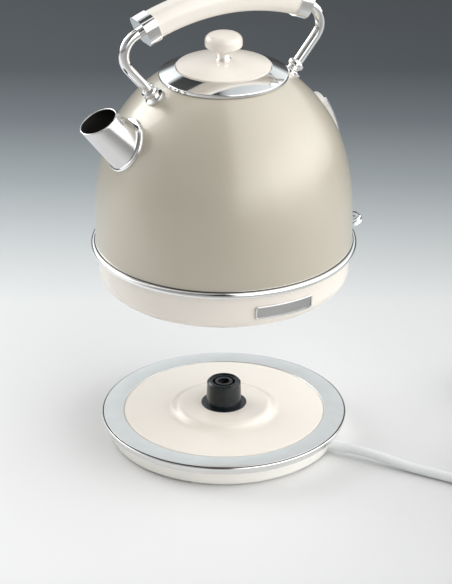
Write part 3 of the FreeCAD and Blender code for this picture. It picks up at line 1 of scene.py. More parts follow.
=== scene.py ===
"""Looks of the domed cordless kettle that is held above its round power base.

Sizes are in millimetres until a mesh is made. Kettle pieces are worked out with z = 0 at the kettle's
own underside and are then raised to the height that the kettle is held at.
"""
import json
import math

import bmesh
import bpy
import numpy as np
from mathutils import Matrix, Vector


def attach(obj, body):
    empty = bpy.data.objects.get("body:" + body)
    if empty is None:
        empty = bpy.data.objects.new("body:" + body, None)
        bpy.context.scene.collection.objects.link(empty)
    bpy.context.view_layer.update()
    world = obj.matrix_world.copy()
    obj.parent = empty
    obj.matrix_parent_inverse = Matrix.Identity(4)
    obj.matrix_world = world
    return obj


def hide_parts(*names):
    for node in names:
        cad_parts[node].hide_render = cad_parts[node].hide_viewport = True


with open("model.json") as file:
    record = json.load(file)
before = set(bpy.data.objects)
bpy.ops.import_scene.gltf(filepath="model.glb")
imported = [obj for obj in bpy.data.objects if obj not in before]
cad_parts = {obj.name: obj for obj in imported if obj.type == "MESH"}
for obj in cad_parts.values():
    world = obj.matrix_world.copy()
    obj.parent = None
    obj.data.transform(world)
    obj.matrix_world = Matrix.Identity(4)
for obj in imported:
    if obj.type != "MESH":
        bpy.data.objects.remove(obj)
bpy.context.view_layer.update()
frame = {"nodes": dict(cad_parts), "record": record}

MM = 0.001
KETTLE_Z = 133.0

# The photo looks 28 degrees past the kettle's own side. Camera, floor and lamps share that fixed turn.
STAGE_TURN = math.radians(-28.0)
RIGHT = np.array([math.cos(STAGE_TURN), math.sin(STAGE_TURN), 0.0])
AWAY = np.array([-math.sin(STAGE_TURN), math.cos(STAGE_TURN), 0.0])
UP = np.array([0.0, 0.0, 1.0])


def on_stage(right, away, up):
    """Point in the part's frame, in metres, of distances to the stage's right, to its back and up."""
    return tuple((RIGHT * right + AWAY * away + UP * up) * MM)


# camera

CAMERA_PLACE = (1.66, -1688.2, 934.1)
CAMERA_TILT = math.radians(64.28)
FOCAL_LENGTH, SENSOR_WIDTH = 150.1, 36.0
FARTHEST_SEEN = 20.0


def place_camera():
    """Camera at the place, tilt and focal length that were fitted to the photo's round edges."""
    camera = bpy.data.cameras.new("camera")
    camera.lens = FOCAL_LENGTH
    camera.sensor_width = SENSOR_WIDTH
    camera.clip_end = FARTHEST_SEEN
    holder = bpy.data.objects.new("camera", camera)
    bpy.context.collection.objects.link(holder)
    holder.location = on_stage(*CAMERA_PLACE)
    holder.rotation_euler = (CAMERA_TILT, 0.0, STAGE_TURN)
    bpy.context.scene.camera = holder


place_camera()


# finishes

def grey(value):
    """A colour with the same red, green and blue."""
    return (value, value, value)


class Nodes:
    """Short ways to add shader nodes to a tree and to join them."""

    def __init__(self, tree):
        self.tree = tree

    def node(self, kind, **settings):
        """Add a node of a kind with its settings."""
        made = self.tree.nodes.new(kind)
        for name, value in settings.items():
            setattr(made, name, value)
        return made

    def feed(self, socket, value):
        """Give a socket another node's output, or a plain value."""
        if isinstance(value, bpy.types.NodeSocket):
            self.tree.links.new(value, socket)
        else:
            socket.default_value = value

    def maths(self, operation, *values):
        """Result of an operation on outputs and numbers."""
        made = self.node("ShaderNodeMath", operation=operation)
        for socket, value in zip(made.inputs, values):
            self.feed(socket, value)
        return made.outputs[0]

    def mix(self, kind, share, first, second):
        """First colour blended with a second one by a share."""
        made = self.node("ShaderNodeMix", data_type="RGBA", blend_type=kind)
        for name, value in (("Factor", share), ("A", first), ("B", second)):
            self.feed(made.inputs[name], value)
        return made.outputs["Result"]

    def ramp(self, source, *stops):
        """Colours, or greys given as one number, between places of a source from 0 to 1."""
        made = self.node("ShaderNodeValToRGB")
        elements = made.color_ramp.elements
        while len(elements) < len(stops):
            elements.new(0.5)
        for element, (position, colour) in zip(elements, stops):
            element.position = position
            element.color = (*(colour if isinstance(colour, tuple) else grey(colour)), 1.0)
        self.feed(made.inputs["Fac"], source)
        return made.outputs["Color"]

    def span(self, source, low, high, start=0.0, end=1.0):
        """A source between a start and an end, spread between two values."""
        made = self.node("ShaderNodeMapRange")
        for name, value in (("Value", source), ("From Min", start), ("From Max", end),
                            ("To Min", low), ("To Max", high)):
            self.feed(made.inputs[name], value)
        return made.outputs["Result"]

    def stage_parts(self, place):
        """How far a place lies to the stage's right, to its back and up, as three outputs."""
        turn = self.node("ShaderNodeMapping")
        turn.inputs["Rotation"].default_value = (0, 0, -STAGE_TURN)
        self.feed(turn.inputs["Vector"], place)
        split = self.node("ShaderNodeSeparateXYZ")
        self.feed(split.inputs["Vector"], turn.outputs["Vector"])
        return tuple(split.outputs)


class Finish(Nodes):
    """A material with its shader and the nodes in front of it."""

    def __init__(self, name, **sockets):
        self.material = bpy.data.materials.new(name)
        self.material.use_nodes = True
        super().__init__(self.material.node_tree)
        self.shader = self.tree.nodes["Principled BSDF"]
        for socket, value in sockets.items():
            self.shader.inputs[socket.replace("_", " ")].default_value = value
        self.place = self.node("ShaderNodeTexCoord").outputs["Object"]

    def stretched(self, scale):
        """Object coordinates scaled along each axis."""
        mapping = self.node("ShaderNodeMapping")
        mapping.inputs["Scale"].default_value = scale
        self.feed(mapping.inputs["Vector"], self.place)
        return mapping.outputs["Vector"]

    def noise(self, size, detail=3.0, where=None):
        """Cloudy grain with blotches of about a size in millimetres."""
        made = self.node("ShaderNodeTexNoise")
        made.inputs["Scale"].default_value = 1.0 / (size * MM)
        made.inputs["Detail"].default_value = detail
        self.feed(made.inputs["Vector"], self.place if where is None else where)
        return made.outputs["Fac"]

    def colour(self, source):
        """Take the surface's colour from an output."""
        self.feed(self.shader.inputs["Base Color"], source)

    def roughness(self, source):
        """Take the surface's roughness from an output."""
        self.feed(self.shader.inputs["Roughness"], source)

    def bump(self, source, depth):
        """Relief of a depth in millimetres."""
        made = self.node("ShaderNodeBump")
        made.inputs["Distance"].default_value = depth * MM
        self.feed(made.inputs["Height"], source)
        self.feed(self.shader.inputs["Normal"], made.outputs["Normal"])


def pearl_enamel():
    """Warm beige enamel with a fine pearly flake under a clear coat."""
    finish = Finish("pearl_enamel", Metallic=0.15, Coat_Weight=0.8, Coat_Roughness=0.12)
    flake = finish.noise(0.35, 2.0)
    cloud = finish.noise(60.0, 2.0)
    pearl = finish.maths("MULTIPLY_ADD", flake, 0.35, cloud)
    finish.colour(finish.ramp(pearl, (0.35, (0.500, 0.455, 0.368)), (0.95, (0.540, 0.495, 0.405))))
    finish.roughness(finish.span(flake, 0.34, 0.44))
    finish.bump(finish.noise(1.6, 2.0), 0.004)
    return finish.material


def moulded_gloss(name, deep, pale):
    """Glossy moulded plastic clouded between two tones, with a faint orange-peel surface."""
    finish = Finish(name, Coat_Weight=0.3, Coat_Roughness=0.10)
    cloud = finish.noise(45.0, 3.0)
    finish.colour(finish.ramp(cloud, (0.3, deep), (0.7, pale)))
    finish.roughness(finish.span(finish.noise(4.0), 0.20, 0.26))
    finish.bump(finish.noise(7.0, 1.0), 0.004)
    return finish.material


def polished_chrome():
    """Bright plating with a faint cloudiness of polish, dull and dark where a mesh is marked as inside:
    painted shade in crease grooves and in the spout's bore, and a plain duller tone on the badge's field and
    the spout's outside.
    """
    finish = Finish("polished_chrome", Metallic=1.0)
    cloud = finish.noise(18.0, 4.0)
    bright = finish.ramp(cloud, (0.3, (0.80, 0.80, 0.795)), (0.7, (0.85, 0.85, 0.845)))
    inside = finish.node("ShaderNodeAttribute", attribute_name="inside").outputs["Fac"]
    finish.colour(finish.mix("MIX", inside, bright, (0.10, 0.095, 0.09, 1.0)))
    finish.roughness(finish.maths("MULTIPLY_ADD", inside, 0.4, finish.span(cloud, 0.06, 0.10)))
    return finish.material


def brushed_steel():
    """Plain steel with fine lines."""
    finish = Finish("brushed_steel", Metallic=1.0, Anisotropic=0.5)
    lines = finish.noise(1.0, 4.0, finish.stretched((1.0, 1.0, 0.03)))
    finish.colour(finish.ramp(lines, (0.3, 0.55), (0.7, 0.66)))
    finish.roughness(finish.span(lines, 0.28, 0.42))
    finish.bump(lines, 0.01)
    return finish.material


def grained(name, grain, tones, roughness, relief=None, **sockets):
    """Finish whose grain, of a size and a detail, moves its colour, roughness and relief together."""
    finish = Finish(name, **sockets)
    cloud = finish.noise(*grain)
    deep, pale = tones
    finish.colour(finish.ramp(cloud, (0.3, deep), (0.7, pale)))
    finish.roughness(finish.span(cloud, *roughness))
    if relief:
        finish.bump(cloud, relief)
    return finish.material


FINISHES = {
    "cream_enamel": pearl_enamel(),
    "cream_gloss": moulded_gloss("cream_gloss", (0.850, 0.793, 0.715), (0.876, 0.822, 0.748)),
    "chrome": polished_chrome(),
    "steel": brushed_steel(),
    # dark moulding with a fine spark-eroded grain
    "black_plastic": grained("satin_black", (0.5, 4.0), ((0.006, 0.009, 0.011), (0.010, 0.014, 0.016)),
                             (0.16, 0.24), 0.004, IOR=1.42),
    # pale moulding with a satin grain
    "grey_plastic": grained("grey_moulding", (0.7, 4.0), ((0.60, 0.585, 0.55), (0.65, 0.635, 0.60)),
                            (0.38, 0.50), 0.02),
    # water-clear plastic with a faint haze
    "clear_plastic": grained("clear_acrylic", (3.0, 3.0), ((0.66, 0.69, 0.70), (0.72, 0.745, 0.755)),
                             (0.03, 0.08), Transmission_Weight=1.0, IOR=1.49),
    # dull rubber
    "rubber": grained("soft_rubber", (0.8, 4.0), (0.10, 0.14), (0.7, 0.85), 0.03),
    # soft off-white sheath with a faint matte grain
    "cord_sheath": grained("pale_sheath", (0.9, 3.0), ((0.75, 0.77, 0.77), (0.81, 0.83, 0.83)),
                           (0.42, 0.55), 0.015),
    # plated contact metal
    "contact_brass": grained("contact_brass", (2.0, 4.0), ((0.42, 0.38, 0.30), (0.52, 0.48, 0.40)),
                             (0.16, 0.26), Metallic=1.0),
    # small tinted lens
    "lamp": grained("amber_lamp", (2.0, 2.0), ((0.62, 0.12, 0.03), (0.75, 0.20, 0.06)), (0.12, 0.2)),
}

# The tray takes a lighter, more neutral copy of the cream gloss: painted light that offsets the shade at the
# foot of the base.
NODE_FINISHES = {
    "base_tray": moulded_gloss("tray_painted_light_gloss", (0.880, 0.862, 0.800), (0.900, 0.884, 0.828)),
}


# making meshes

SHARP_ANGLE = math.radians(34.0)
MERGE_DISTANCE = 1e-7
CORNER_POINTS = 9


def finish_piece(obj, body, slot, replaced):
    """Ride on a body, take a finish and stand for CAD nodes."""
    obj.data.materials.clear()
    obj.data.materials.append(FINISHES[slot])
    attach(obj, body)
    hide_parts(*replaced)
    return obj


def solid(name, points, faces, body, slot, replaced):
    """Closed smooth-shaded mesh from points in millimetres and quads, with merged poles."""
    mesh = bpy.data.meshes.new(name)
    mesh.from_pydata((points * MM).tolist(), [], faces.tolist())
    work = bmesh.new()
    work.from_mesh(mesh)
    bmesh.ops.remove_doubles(work, verts=work.verts, dist=MERGE_DISTANCE)
    bmesh.ops.dissolve_degenerate(work, edges=work.edges, dist=MERGE_DISTANCE)
    bmesh.ops.recalc_face_normals(work, faces=work.faces)
    work.to_mesh(mesh)
    work.free()
    mesh.polygons.foreach_set("use_smooth", np.ones(len(mesh.polygons), dtype=bool))
    mesh.set_sharp_from_angle(angle=SHARP_ANGLE)
    obj = bpy.data.objects.new(name, mesh)
    bpy.context.collection.objects.link(obj)
    return finish_piece(obj, body, slot, replaced)


def grid_faces(rows, columns, close_rows, close_columns):
    """Quads of a grid of points, each from a point to the next along both ways, joined up where closed."""
    row = np.arange(rows if close_rows else rows - 1)[:, None]
    column = np.arange(columns if close_columns else columns - 1)[None, :]
    next_row, next_column = (row + 1) % rows, (column + 1) % columns
    corners = (row * columns + column, row * columns + next_column,
               next_row * columns + next_column, next_row * columns + column)
    return np.stack([np.broadcast_to(item, (row.size, column.size)) for item in corners], -1).reshape(-1, 4)


def arc(centre, radius, start, end, count):
    """Arc between two angles in degrees: the centre plus the radius times each angle's cosine and sine."""
    angles = np.radians(np.linspace(start, end, count))
    return np.stack([centre[0] + radius * np.cos(angles), centre[1] + radius * np.sin(angles)], -1)


def circle(radius, count=40):
    """Points evenly round a circle: the cosine and sine of each angle times the radius."""
    angles = np.linspace(0, 2 * np.pi, count, endpoint=False)
    return np.stack([np.cos(angles), np.sin(angles)], -1) * radius


def rounded(corners, closed=True):
    """Outline through corners; a third number rounds that corner with a tangent arc of that radius."""
    spots = np.array([corner[:2] for corner in corners], dtype=float)
    count = len(corners)
    pieces = []
    for i, corner in enumerate(corners):
        if len(corner) < 3 or (not closed and i in (0, count - 1)):
            pieces.append(spots[i][None, :])
            continue
        back, ahead = spots[i - 1] - spots[i], spots[(i + 1) % count] - spots[i]
        back, ahead = back / np.linalg.norm(back), ahead / np.linalg.norm(ahead)
        half = math.acos(np.clip(back @ ahead, -1, 1)) / 2
        middle = (back + ahead) / np.linalg.norm(back + ahead)
        centre = spots[i] + middle * corner[2] / math.sin(half)
        sweep = np.linspace(-1, 1, CORNER_POINTS)[:, None] * (math.pi / 2 - half)
        side = ahead - middle * (ahead @ middle)
        side = side / np.linalg.norm(side)
        pieces.append(centre + corner[2] * (-middle * np.cos(sweep) + side * np.sin(sweep)))
    return np.concatenate(pieces)


def rounded_box(left, right, low, high, corner):
    """Outline of a rectangle with one radius at all four corners."""
    return rounded([(left, low, corner), (right, low, corner), (right, high, corner), (left, high, corner)])


def around(radius, angle, height):
    """Points at a radius and an angle round the Z axis: radius times cosine and sine, and the height."""
    return np.stack([radius * np.cos(angle), radius * np.sin(angle), height], -1)


def spun(outline, steps):
    """Surface of revolution: outline points of radius and height carried round the Z axis."""
    angles = np.linspace(0, 2 * np.pi, steps, endpoint=False)[:, None]
    radius, height = outline[:, 0], outline[:, 1]
    return around(radius, angles, np.broadcast_to(height, (steps, len(outline))))


def on_floor(points):
    """Base points, which are already worked out from the floor."""
    return points


def raised(points):
    """Kettle points lifted to the height that the kettle is held at."""
    return points + [0, 0, KETTLE_Z]


def turned(name, outline, body, slot, replaced, steps, stand=raised):
    """Turned piece from a closed outline, put in place by a function of its points."""
    grid = spun(outline, steps)
    faces = grid_faces(steps, len(outline), True, True)
    return solid(name, stand(grid.reshape(-1, 3)), faces, body, slot, replaced)


def cut(obj, points, faces):
    """Take a cutter's closed mesh, in millimetres, away from a piece."""
    mesh = bpy.data.meshes.new("cutter")
    mesh.from_pydata((points * MM).tolist(), [], faces)
    cutter = bpy.data.objects.new("cutter", mesh)
    bpy.context.collection.objects.link(cutter)
    change = obj.modifiers.new("cut", "BOOLEAN")
    change.operation = "DIFFERENCE"
    change.solver = "EXACT"
    change.object = cutter
    view = bpy.context.evaluated_depsgraph_get()
    done = bpy.data.meshes.new_from_object(obj.evaluated_get(view))
    obj.modifiers.clear()
    obj.data = done
    done.set_sharp_from_angle(angle=SHARP_ANGLE)
    bpy.data.objects.remove(cutter)


def prism(outline, low, high, stand):
    """Points and faces of a straight prism over an outline, between two heights."""
    count = len(outline)
    ends = [np.c_[outline, np.full(count, height)] for height in (low, high)]
    sides = grid_faces(2, count, False, True).tolist()
    return stand(np.concatenate(ends)), sides + [list(range(count))[::-1], list(range(count, 2 * count))]


def leaning(seat, angle, side):
    """Function that stands points on the dome, their Z axis rising by an angle to front or rear."""
    rise = math.radians(angle)
    out = np.array([math.cos(rise) * side, 0, math.sin(rise)])
    along = np.array([math.sin(rise), 0, -math.cos(rise) * side])
    turn = np.stack([along, np.array([0, 1, 0]), out])
    foot = np.array([seat[0] * side, 0, seat[1] + KETTLE_Z])
    return lambda points: points @ turn + foot


def pad_grid(half_length, half_width, corner, lines=(97, 49)):
    """Grid over a rounded rectangle, and how far in from the edge each of its points is.

    Lines are spaced by a sine, so they lie closer towards the edge. What reaches past the straight core
    at a corner is drawn in to the corner's radius.
    """
    spread = [half * np.sin(np.linspace(-np.pi / 2, np.pi / 2, count))
              for half, count in zip((half_length, half_width), lines)]
    spots = np.stack(np.meshgrid(*spread, indexing="ij"), -1)
    core = np.array([half_length - corner, half_width - corner])
    over = np.abs(spots) - core
    past = np.maximum(over, 0)
    reach = np.linalg.norm(past, axis=-1, keepdims=True)
    past = past * np.minimum(1, corner / np.maximum(reach, 1e-9))
    spots = np.sign(spots) * (np.minimum(np.abs(spots), core) + past)
    depth = corner - np.linalg.norm(past, axis=-1) - np.minimum(over.max(-1), 0)
    return spots, np.maximum(depth, 0)


def slab(top, bottom):
    """Closed skin over two grids of points of one shape, with a wall of quads round their edges."""
    rows, columns = top.shape[:2]
    index = np.arange(rows * columns).reshape(rows, columns)
    edge = np.concatenate([index[0, :-1], index[:-1, -1], index[-1, :0:-1], index[:0:-1, 0]])
    after = np.roll(edge, -1)
    faces = grid_faces(rows, columns, False, False)
    wall = np.stack([edge, after, after + index.size, edge + index.size], -1)
    return (np.concatenate([top.reshape(-1, 3), bottom.reshape(-1, 3)]),
            np.concatenate([faces, faces[:, ::-1] + index.size, wall]))


def joined(*shells):
    """Several closed skins as one."""
    starts = np.cumsum([0] + [len(points) for points, _ in shells])
    return (np.concatenate([points for points, _ in shells]),
            np.concatenate([faces + start for (_, faces), start in zip(shells, starts)]))


def mark_dullness_and_painted_shade(obj, share):
    """Darken and dull the bright plating by a share at each vertex: painted shade in grooves and bores, or a
    plain duller tone.
    """
    mark = obj.data.attributes.new("inside", "FLOAT", "POINT")
    mark.data.foreach_set("value", np.asarray(share, dtype=np.float32))


def vertex_places(obj):
    """X, Y and Z of all vertices in millimetres, as three rows."""
    places = np.empty(3 * len(obj.data.vertices), dtype=np.float32)
    obj.data.vertices.foreach_get("co", places)
    return places.reshape(-1, 3).T / MM


def ring_zone(obj, radii, heights):
    """Which vertices lie between two radii from the Z axis and between two heights."""
    across, along, height = vertex_places(obj)
    radius = np.hypot(across, along)
    return (radius > radii[0]) & (radius < radii[1]) & (height > heights[0]) & (height < heights[1])


# the dome's three tangent arcs

BAND_LOW, BAND_TOP = 28.7, 35.2
DOME_RADIUS, DOME_WALL = 97.7, 1.2
FOOT_ARC, SIDE_ARC, CROWN_ARC = 9.365 * DOME_RADIUS, 1.822 * DOME_RADIUS, 1.08 * DOME_RADIUS
MOUTH_RADIUS = 0.45 * DOME_RADIUS
FOOT_ANGLE, SIDE_ANGLE = 1.8, 14.7
FOOT_CENTRE = np.array([DOME_RADIUS - FOOT_ARC, BAND_TOP])


def heading(angle):
    """Unit step outward and up at an angle in degrees above level: its cosine and sine."""
    return np.array([math.cos(math.radians(angle)), math.sin(math.radians(angle))])


SIDE_CENTRE = FOOT_CENTRE + (FOOT_ARC - SIDE_ARC) * heading(FOOT_ANGLE)
CROWN_CENTRE = SIDE_CENTRE + (SIDE_ARC - CROWN_ARC) * heading(SIDE_ANGLE)


def dome_point(angle):
    """Radius and height on the crown arc: its centre plus its radius along a heading."""
    return CROWN_CENTRE + CROWN_ARC * heading(angle)


def crown_height(radius):
    """Height of the crown arc at a radius, from the right triangle of that radius and the arc's own."""
    return CROWN_CENTRE[1] + math.sqrt(CROWN_ARC ** 2 - (radius - CROWN_CENTRE[0]) ** 2)


def dome_skin(proud=0.0):
    """Outline of the dome, or of a skin parallel to it, from its foot to the mouth."""
    reach = CROWN_ARC + proud
    top = math.degrees(math.acos((MOUTH_RADIUS - CROWN_CENTRE[0]) / reach))
    return np.concatenate([
        arc(FOOT_CENTRE, FOOT_ARC + proud, 0, FOOT_ANGLE, 8)[:-1],
        arc(SIDE_CENTRE, SIDE_ARC + proud, FOOT_ANGLE, SIDE_ANGLE, 16)[:-1],
        arc(CROWN_CENTRE, reach, SIDE_ANGLE, top, 40)])


def above_dome(points):
    """How far kettle points lie outside the crown: their distance from its arc's centre less its radius."""
    ring = np.hypot(points[..., 0], points[..., 1]) - CROWN_CENTRE[0]
    return np.hypot(ring, points[..., 2] - KETTLE_Z - CROWN_CENTRE[1]) - CROWN_ARC


SPOUT_SEAT_ANGLE, SPOUT_RISE = 28.0, 46.0
SPOUT_SEAT = dome_point(SPOUT_SEAT_ANGLE)
STUD_ANGLE = 50.5
STUD_SEAT = dome_point(STUD_ANGLE)


# power cord

# The lead's bends from the gland to the coil, and the tail's steps ahead, aside and up from the coil's end.
LEAD_ROUTE = np.array([
    [65.63, -84.00, 7.4], [77.02, -98.58, 7.4], [92.2, -122.6, 4.2], [110.9, -149.4, 3.95],
    [125.4, -173.3, 4.7], [137.6, -194.9, 4.7]])
CORD_DIAMETER = 7.4
STRAP_GAP, STRAP_SHEET, STRAP_HALF = 0.3, 0.6, 3.0
CLASP_HALF_LENGTH, CLASP_HALF_WIDTH, CLASP_CORNER, CLASP_SINK = 4.2, 3.6, 1.2, 0.1
COIL_RADIUS, COIL_PITCH, COIL_LAYER, COIL_TURNS, COIL_POINTS = 44.0, 8.2, 7.9, 2.42, 59
REVERSAL_TURN, TIE_TURN = 1.25, 0.62
TAIL_STEPS = np.array([[16.0, 0.0, 12.6], [34.0, 0.6, 8.4], [52.0, 0.8, 4.6], [66.0, 0.2, 4.5],
                       [76.6, -0.3, 7.3]])


def coil_points(turns):
    """Spiral in, climb one layer in the half turn where it reverses, and spiral out above.

    The radius shrinks by a pitch each turn and grows again after the reversal. The climb is a smooth
    step: three times its square less twice its cube.
    """
    way = LEAD_ROUTE[-1] - LEAD_ROUTE[-2]
    way = way / np.linalg.norm(way)
    to_centre = np.array([-way[1], way[0], 0])
    centre = LEAD_ROUTE[-1] + way * CORD_DIAMETER + to_centre * COIL_RADIUS
    radius = COIL_RADIUS - COIL_PITCH * np.minimum(turns, 2 * REVERSAL_TURN - turns)
    climb = np.clip((turns - REVERSAL_TURN) / 0.5 + 0.5, 0, 1)
    angle = math.atan2(-to_centre[1], -to_centre[0]) + 2 * np.pi * turns
    lift = COIL_LAYER * climb * climb * (3 - 2 * climb)
    return centre + around(radius, angle, lift)


def cord_route():
    """Control points of the whole cord from the gland to the plug's tail."""
    turns = np.linspace(0, COIL_TURNS, COIL_POINTS)
    coil = coil_points(turns)
    way = coil_points(np.array([COIL_TURNS - 0.01, COIL_TURNS + 0.01]))
    way = (way[1] - way[0]) / np.linalg.norm(way[1] - way[0])
    ahead = np.array([way[0], way[1], 0]) / math.hypot(way[0], way[1])
    aside = np.array([ahead[1], -ahead[0], 0])
    end = coil[-1] + way * CORD_DIAMETER
    flat_end = end * [1, 1, 0]
    tail = flat_end + ahead * TAIL_STEPS[:, :1] + aside * TAIL_STEPS[:, 1:2] + UP * TAIL_STEPS[:, 2:]
    return np.concatenate([LEAD_ROUTE, coil, end[None, :], tail])


def cord_strap():
    """Strap round two passes of the coil: half circles about each, joined straight, with a flat clasp."""
    low, high, across = coil_points(np.array([TIE_TURN, TIE_TURN + 1.0, TIE_TURN + 0.5]))
    way = np.array([low[1] - across[1], across[0] - low[0], 0.0])
    way = way / np.linalg.norm(way)
    rise = (high - low) / np.linalg.norm(high - low)
    out = np.cross(way, rise)
    turn = circle(1.0, 96)
    centre = np.where(turn[:, :1] >= 0, high, low)
    spoke = turn[:, :1] * rise + turn[:, 1:] * out
    inner = CORD_DIAMETER / 2 + STRAP_GAP
    outer = inner + STRAP_SHEET
    section = rounded([(inner, -STRAP_HALF, 0.2), (outer, -STRAP_HALF, 0.25), (outer, STRAP_HALF, 0.25),
                       (inner, STRAP_HALF, 0.2)])
    loop = centre[:, None, :] + spoke[:, None, :] * section[:, :1] + way * section[:, 1:]
    spots, depth = pad_grid(CLASP_HALF_LENGTH, CLASP_HALF_WIDTH, CLASP_CORNER, (33, 33))
    foot = high + rise * (outer - CLASP_SINK)
    flat = foot + spots[..., :1] * out + spots[..., 1:] * way
    bulge = np.sqrt(1 - (1 - np.minimum(depth, 1.0)) ** 2)
    shells = ((loop.reshape(-1, 3), grid_faces(len(turn), len(section), True, True)),
              slab(flat + (STRAP_SHEET + bulge)[..., None] * rise, flat))
    return solid("cord_strap", *joined(*shells), "base", "cord_sheath", ("cord_tie",))


def power_cord():
    """Round cord along its route, drawn as one smooth curve with a round section."""
    route = cord_route() * MM
    curve = bpy.data.curves.new("power_cord", "CURVE")
    curve.dimensions = "3D"
    curve.bevel_depth = CORD_DIAMETER / 2 * MM
    curve.bevel_resolution = 6
    curve.use_fill_caps = True
    spline = curve.splines.new("NURBS")
    spline.points.add(len(route) - 1)
    spline.points.foreach_set("co", np.c_[route, np.ones(len(route))].ravel())
    spline.order_u = 3
    spline.use_endpoint_u = True
    spline.resolution_u = 6
    cord = bpy.data.objects.new("power_cord", curve)
    bpy.context.collection.objects.link(cord)
    finish_piece(cord, "base", "cord_sheath", ("cord_lead", "cord_coil", "cord_tail"))
    cord_strap()


# power base

# Outlines of turned pieces list radius, height and, at rounded corners, the radius of the rounding.
RING_BORE, RING_EDGE, RING_LOW, RING_UNDER, BASE_TOP = 78.8, 96.0, 13.4, 19.0, 20.0
# Zone of the groove round the ring's top edge, where shade is painted into the plating.
RING_CREASE_SHADE = {"radii": (94.45, 95.4), "heights": (19.05, 19.85)}
DISC_EDGE, DISC_TONGUE, DISC_UNDER, DISC_SHEET = 78.1, 91.3, 17.0, 2.0
HUB_TOP, HUB_BORE = 25.0, 12.3
POST_ROOT, POST_FLANGE, POST_FLOOR, POST_INSET, POST_TOP = 12.0, 17.7, 31.7, 43.8, 44.7


def base_pieces():
    """Ring, disc and connector post of the base, each an outline carried round the Z axis."""
    ring = turned("bright_base_ring", rounded([
        (RING_BORE, RING_UNDER), (93.6, RING_UNDER, 1.0), (93.05, RING_LOW), (94.05, RING_LOW, 0.4),
        (RING_EDGE, 18.8, 0.5), (95.6, 19.5, 0.2), (95.35, 19.4), (94.8, 19.1), (94.5, 19.8),
        (94.4, BASE_TOP, 0.1), (RING_BORE, BASE_TOP, 0.4)]),
        "base", "chrome", ("base_trim_ring",), 256, on_floor)
    # Painted shade: the plating in the ring's crease groove is darkened.
    mark_dullness_and_painted_shade(ring, ring_zone(ring, **RING_CREASE_SHADE))
    turned("cream_base_disc", rounded([
        (HUB_BORE, HUB_TOP), (HUB_BORE, HUB_TOP - DISC_SHEET), (34.0, HUB_TOP - DISC_SHEET),
        (39.0, DISC_UNDER), (DISC_TONGUE, DISC_UNDER), (DISC_TONGUE, RING_UNDER), (DISC_EDGE, RING_UNDER),
        (DISC_EDGE, BASE_TOP, 0.4), (41.0, BASE_TOP, 9.0), (36.0, HUB_TOP, 6.0)]),
        "base", "cream_gloss", ("base_top_plate",), 256, on_floor)
    turned("connector_column", rounded([
        (0, 15.0), (POST_ROOT, 15.0), (POST_ROOT, HUB_TOP), (POST_FLANGE, HUB_TOP), (POST_FLANGE, 25.7, 0.3),
        (13.7, 25.7), (13.2, 43.1, 0.6), (11.6, POST_TOP, 0.6), (10.8, POST_TOP, 0.3), (10.8, POST_INSET),
        (8.8, POST_INSET, 0.2), (8.8, POST_FLOOR), (6.9, POST_FLOOR), (6.9, POST_INSET, 0.2),
        (4.6, POST_INSET, 0.4), (4.6, POST_FLOOR), (0, POST_FLOOR)]),
        "base", "black_plastic", ("connector_post",), 128, on_floor)


# kettle

SPOUT_ROOT, SPOUT_MOUTH, SPOUT_REACH = 17.4, 14.2, 30.0
SPOUT_WALL, SPOUT_BORE, SPOUT_STEPS = 1.1, 15.2, 128
MOUTH_SLANT = math.tan(math.radians(17.0))
OUTSIDE_DULLNESS = 0.18
COLLAR_BORE, COLLAR_EDGE, COLLAR_HEIGHT = 16.0, 20.6, 2.2
FLANGE_BORE, FLANGE_LOW, NECK_RADIUS = 87.5, 28.8, 93.7
BAND_BORE, BAND_NECK, BAND_EDGE = 94.0, 97.2, 101.0
ROLL_LOW, ROLL_HIGH, ROLL_ROUNDING = 29.5, 34.4, 2.2
# Zone of the groove near the band's top, where shade is painted into the plating.
BAND_CREASE_SHADE = {"radii": (98.1, 98.65), "heights": (KETTLE_Z + 34.0, KETTLE_Z + 35.0)}
GAUGE_HALF, GAUGE_CORNER, GAUGE_MARGIN = 5.0, 2.5, 5.0
GAUGE_LOW = (SIDE_CENTRE + SIDE_ARC * heading(2.0))[1] + GAUGE_MARGIN
GAUGE_HIGH = dome_point(35.0)[1] - GAUGE_MARGIN
SPOUT_CUT, GAUGE_CUT = (-20.0, 20.0), (60.0, 120.0)


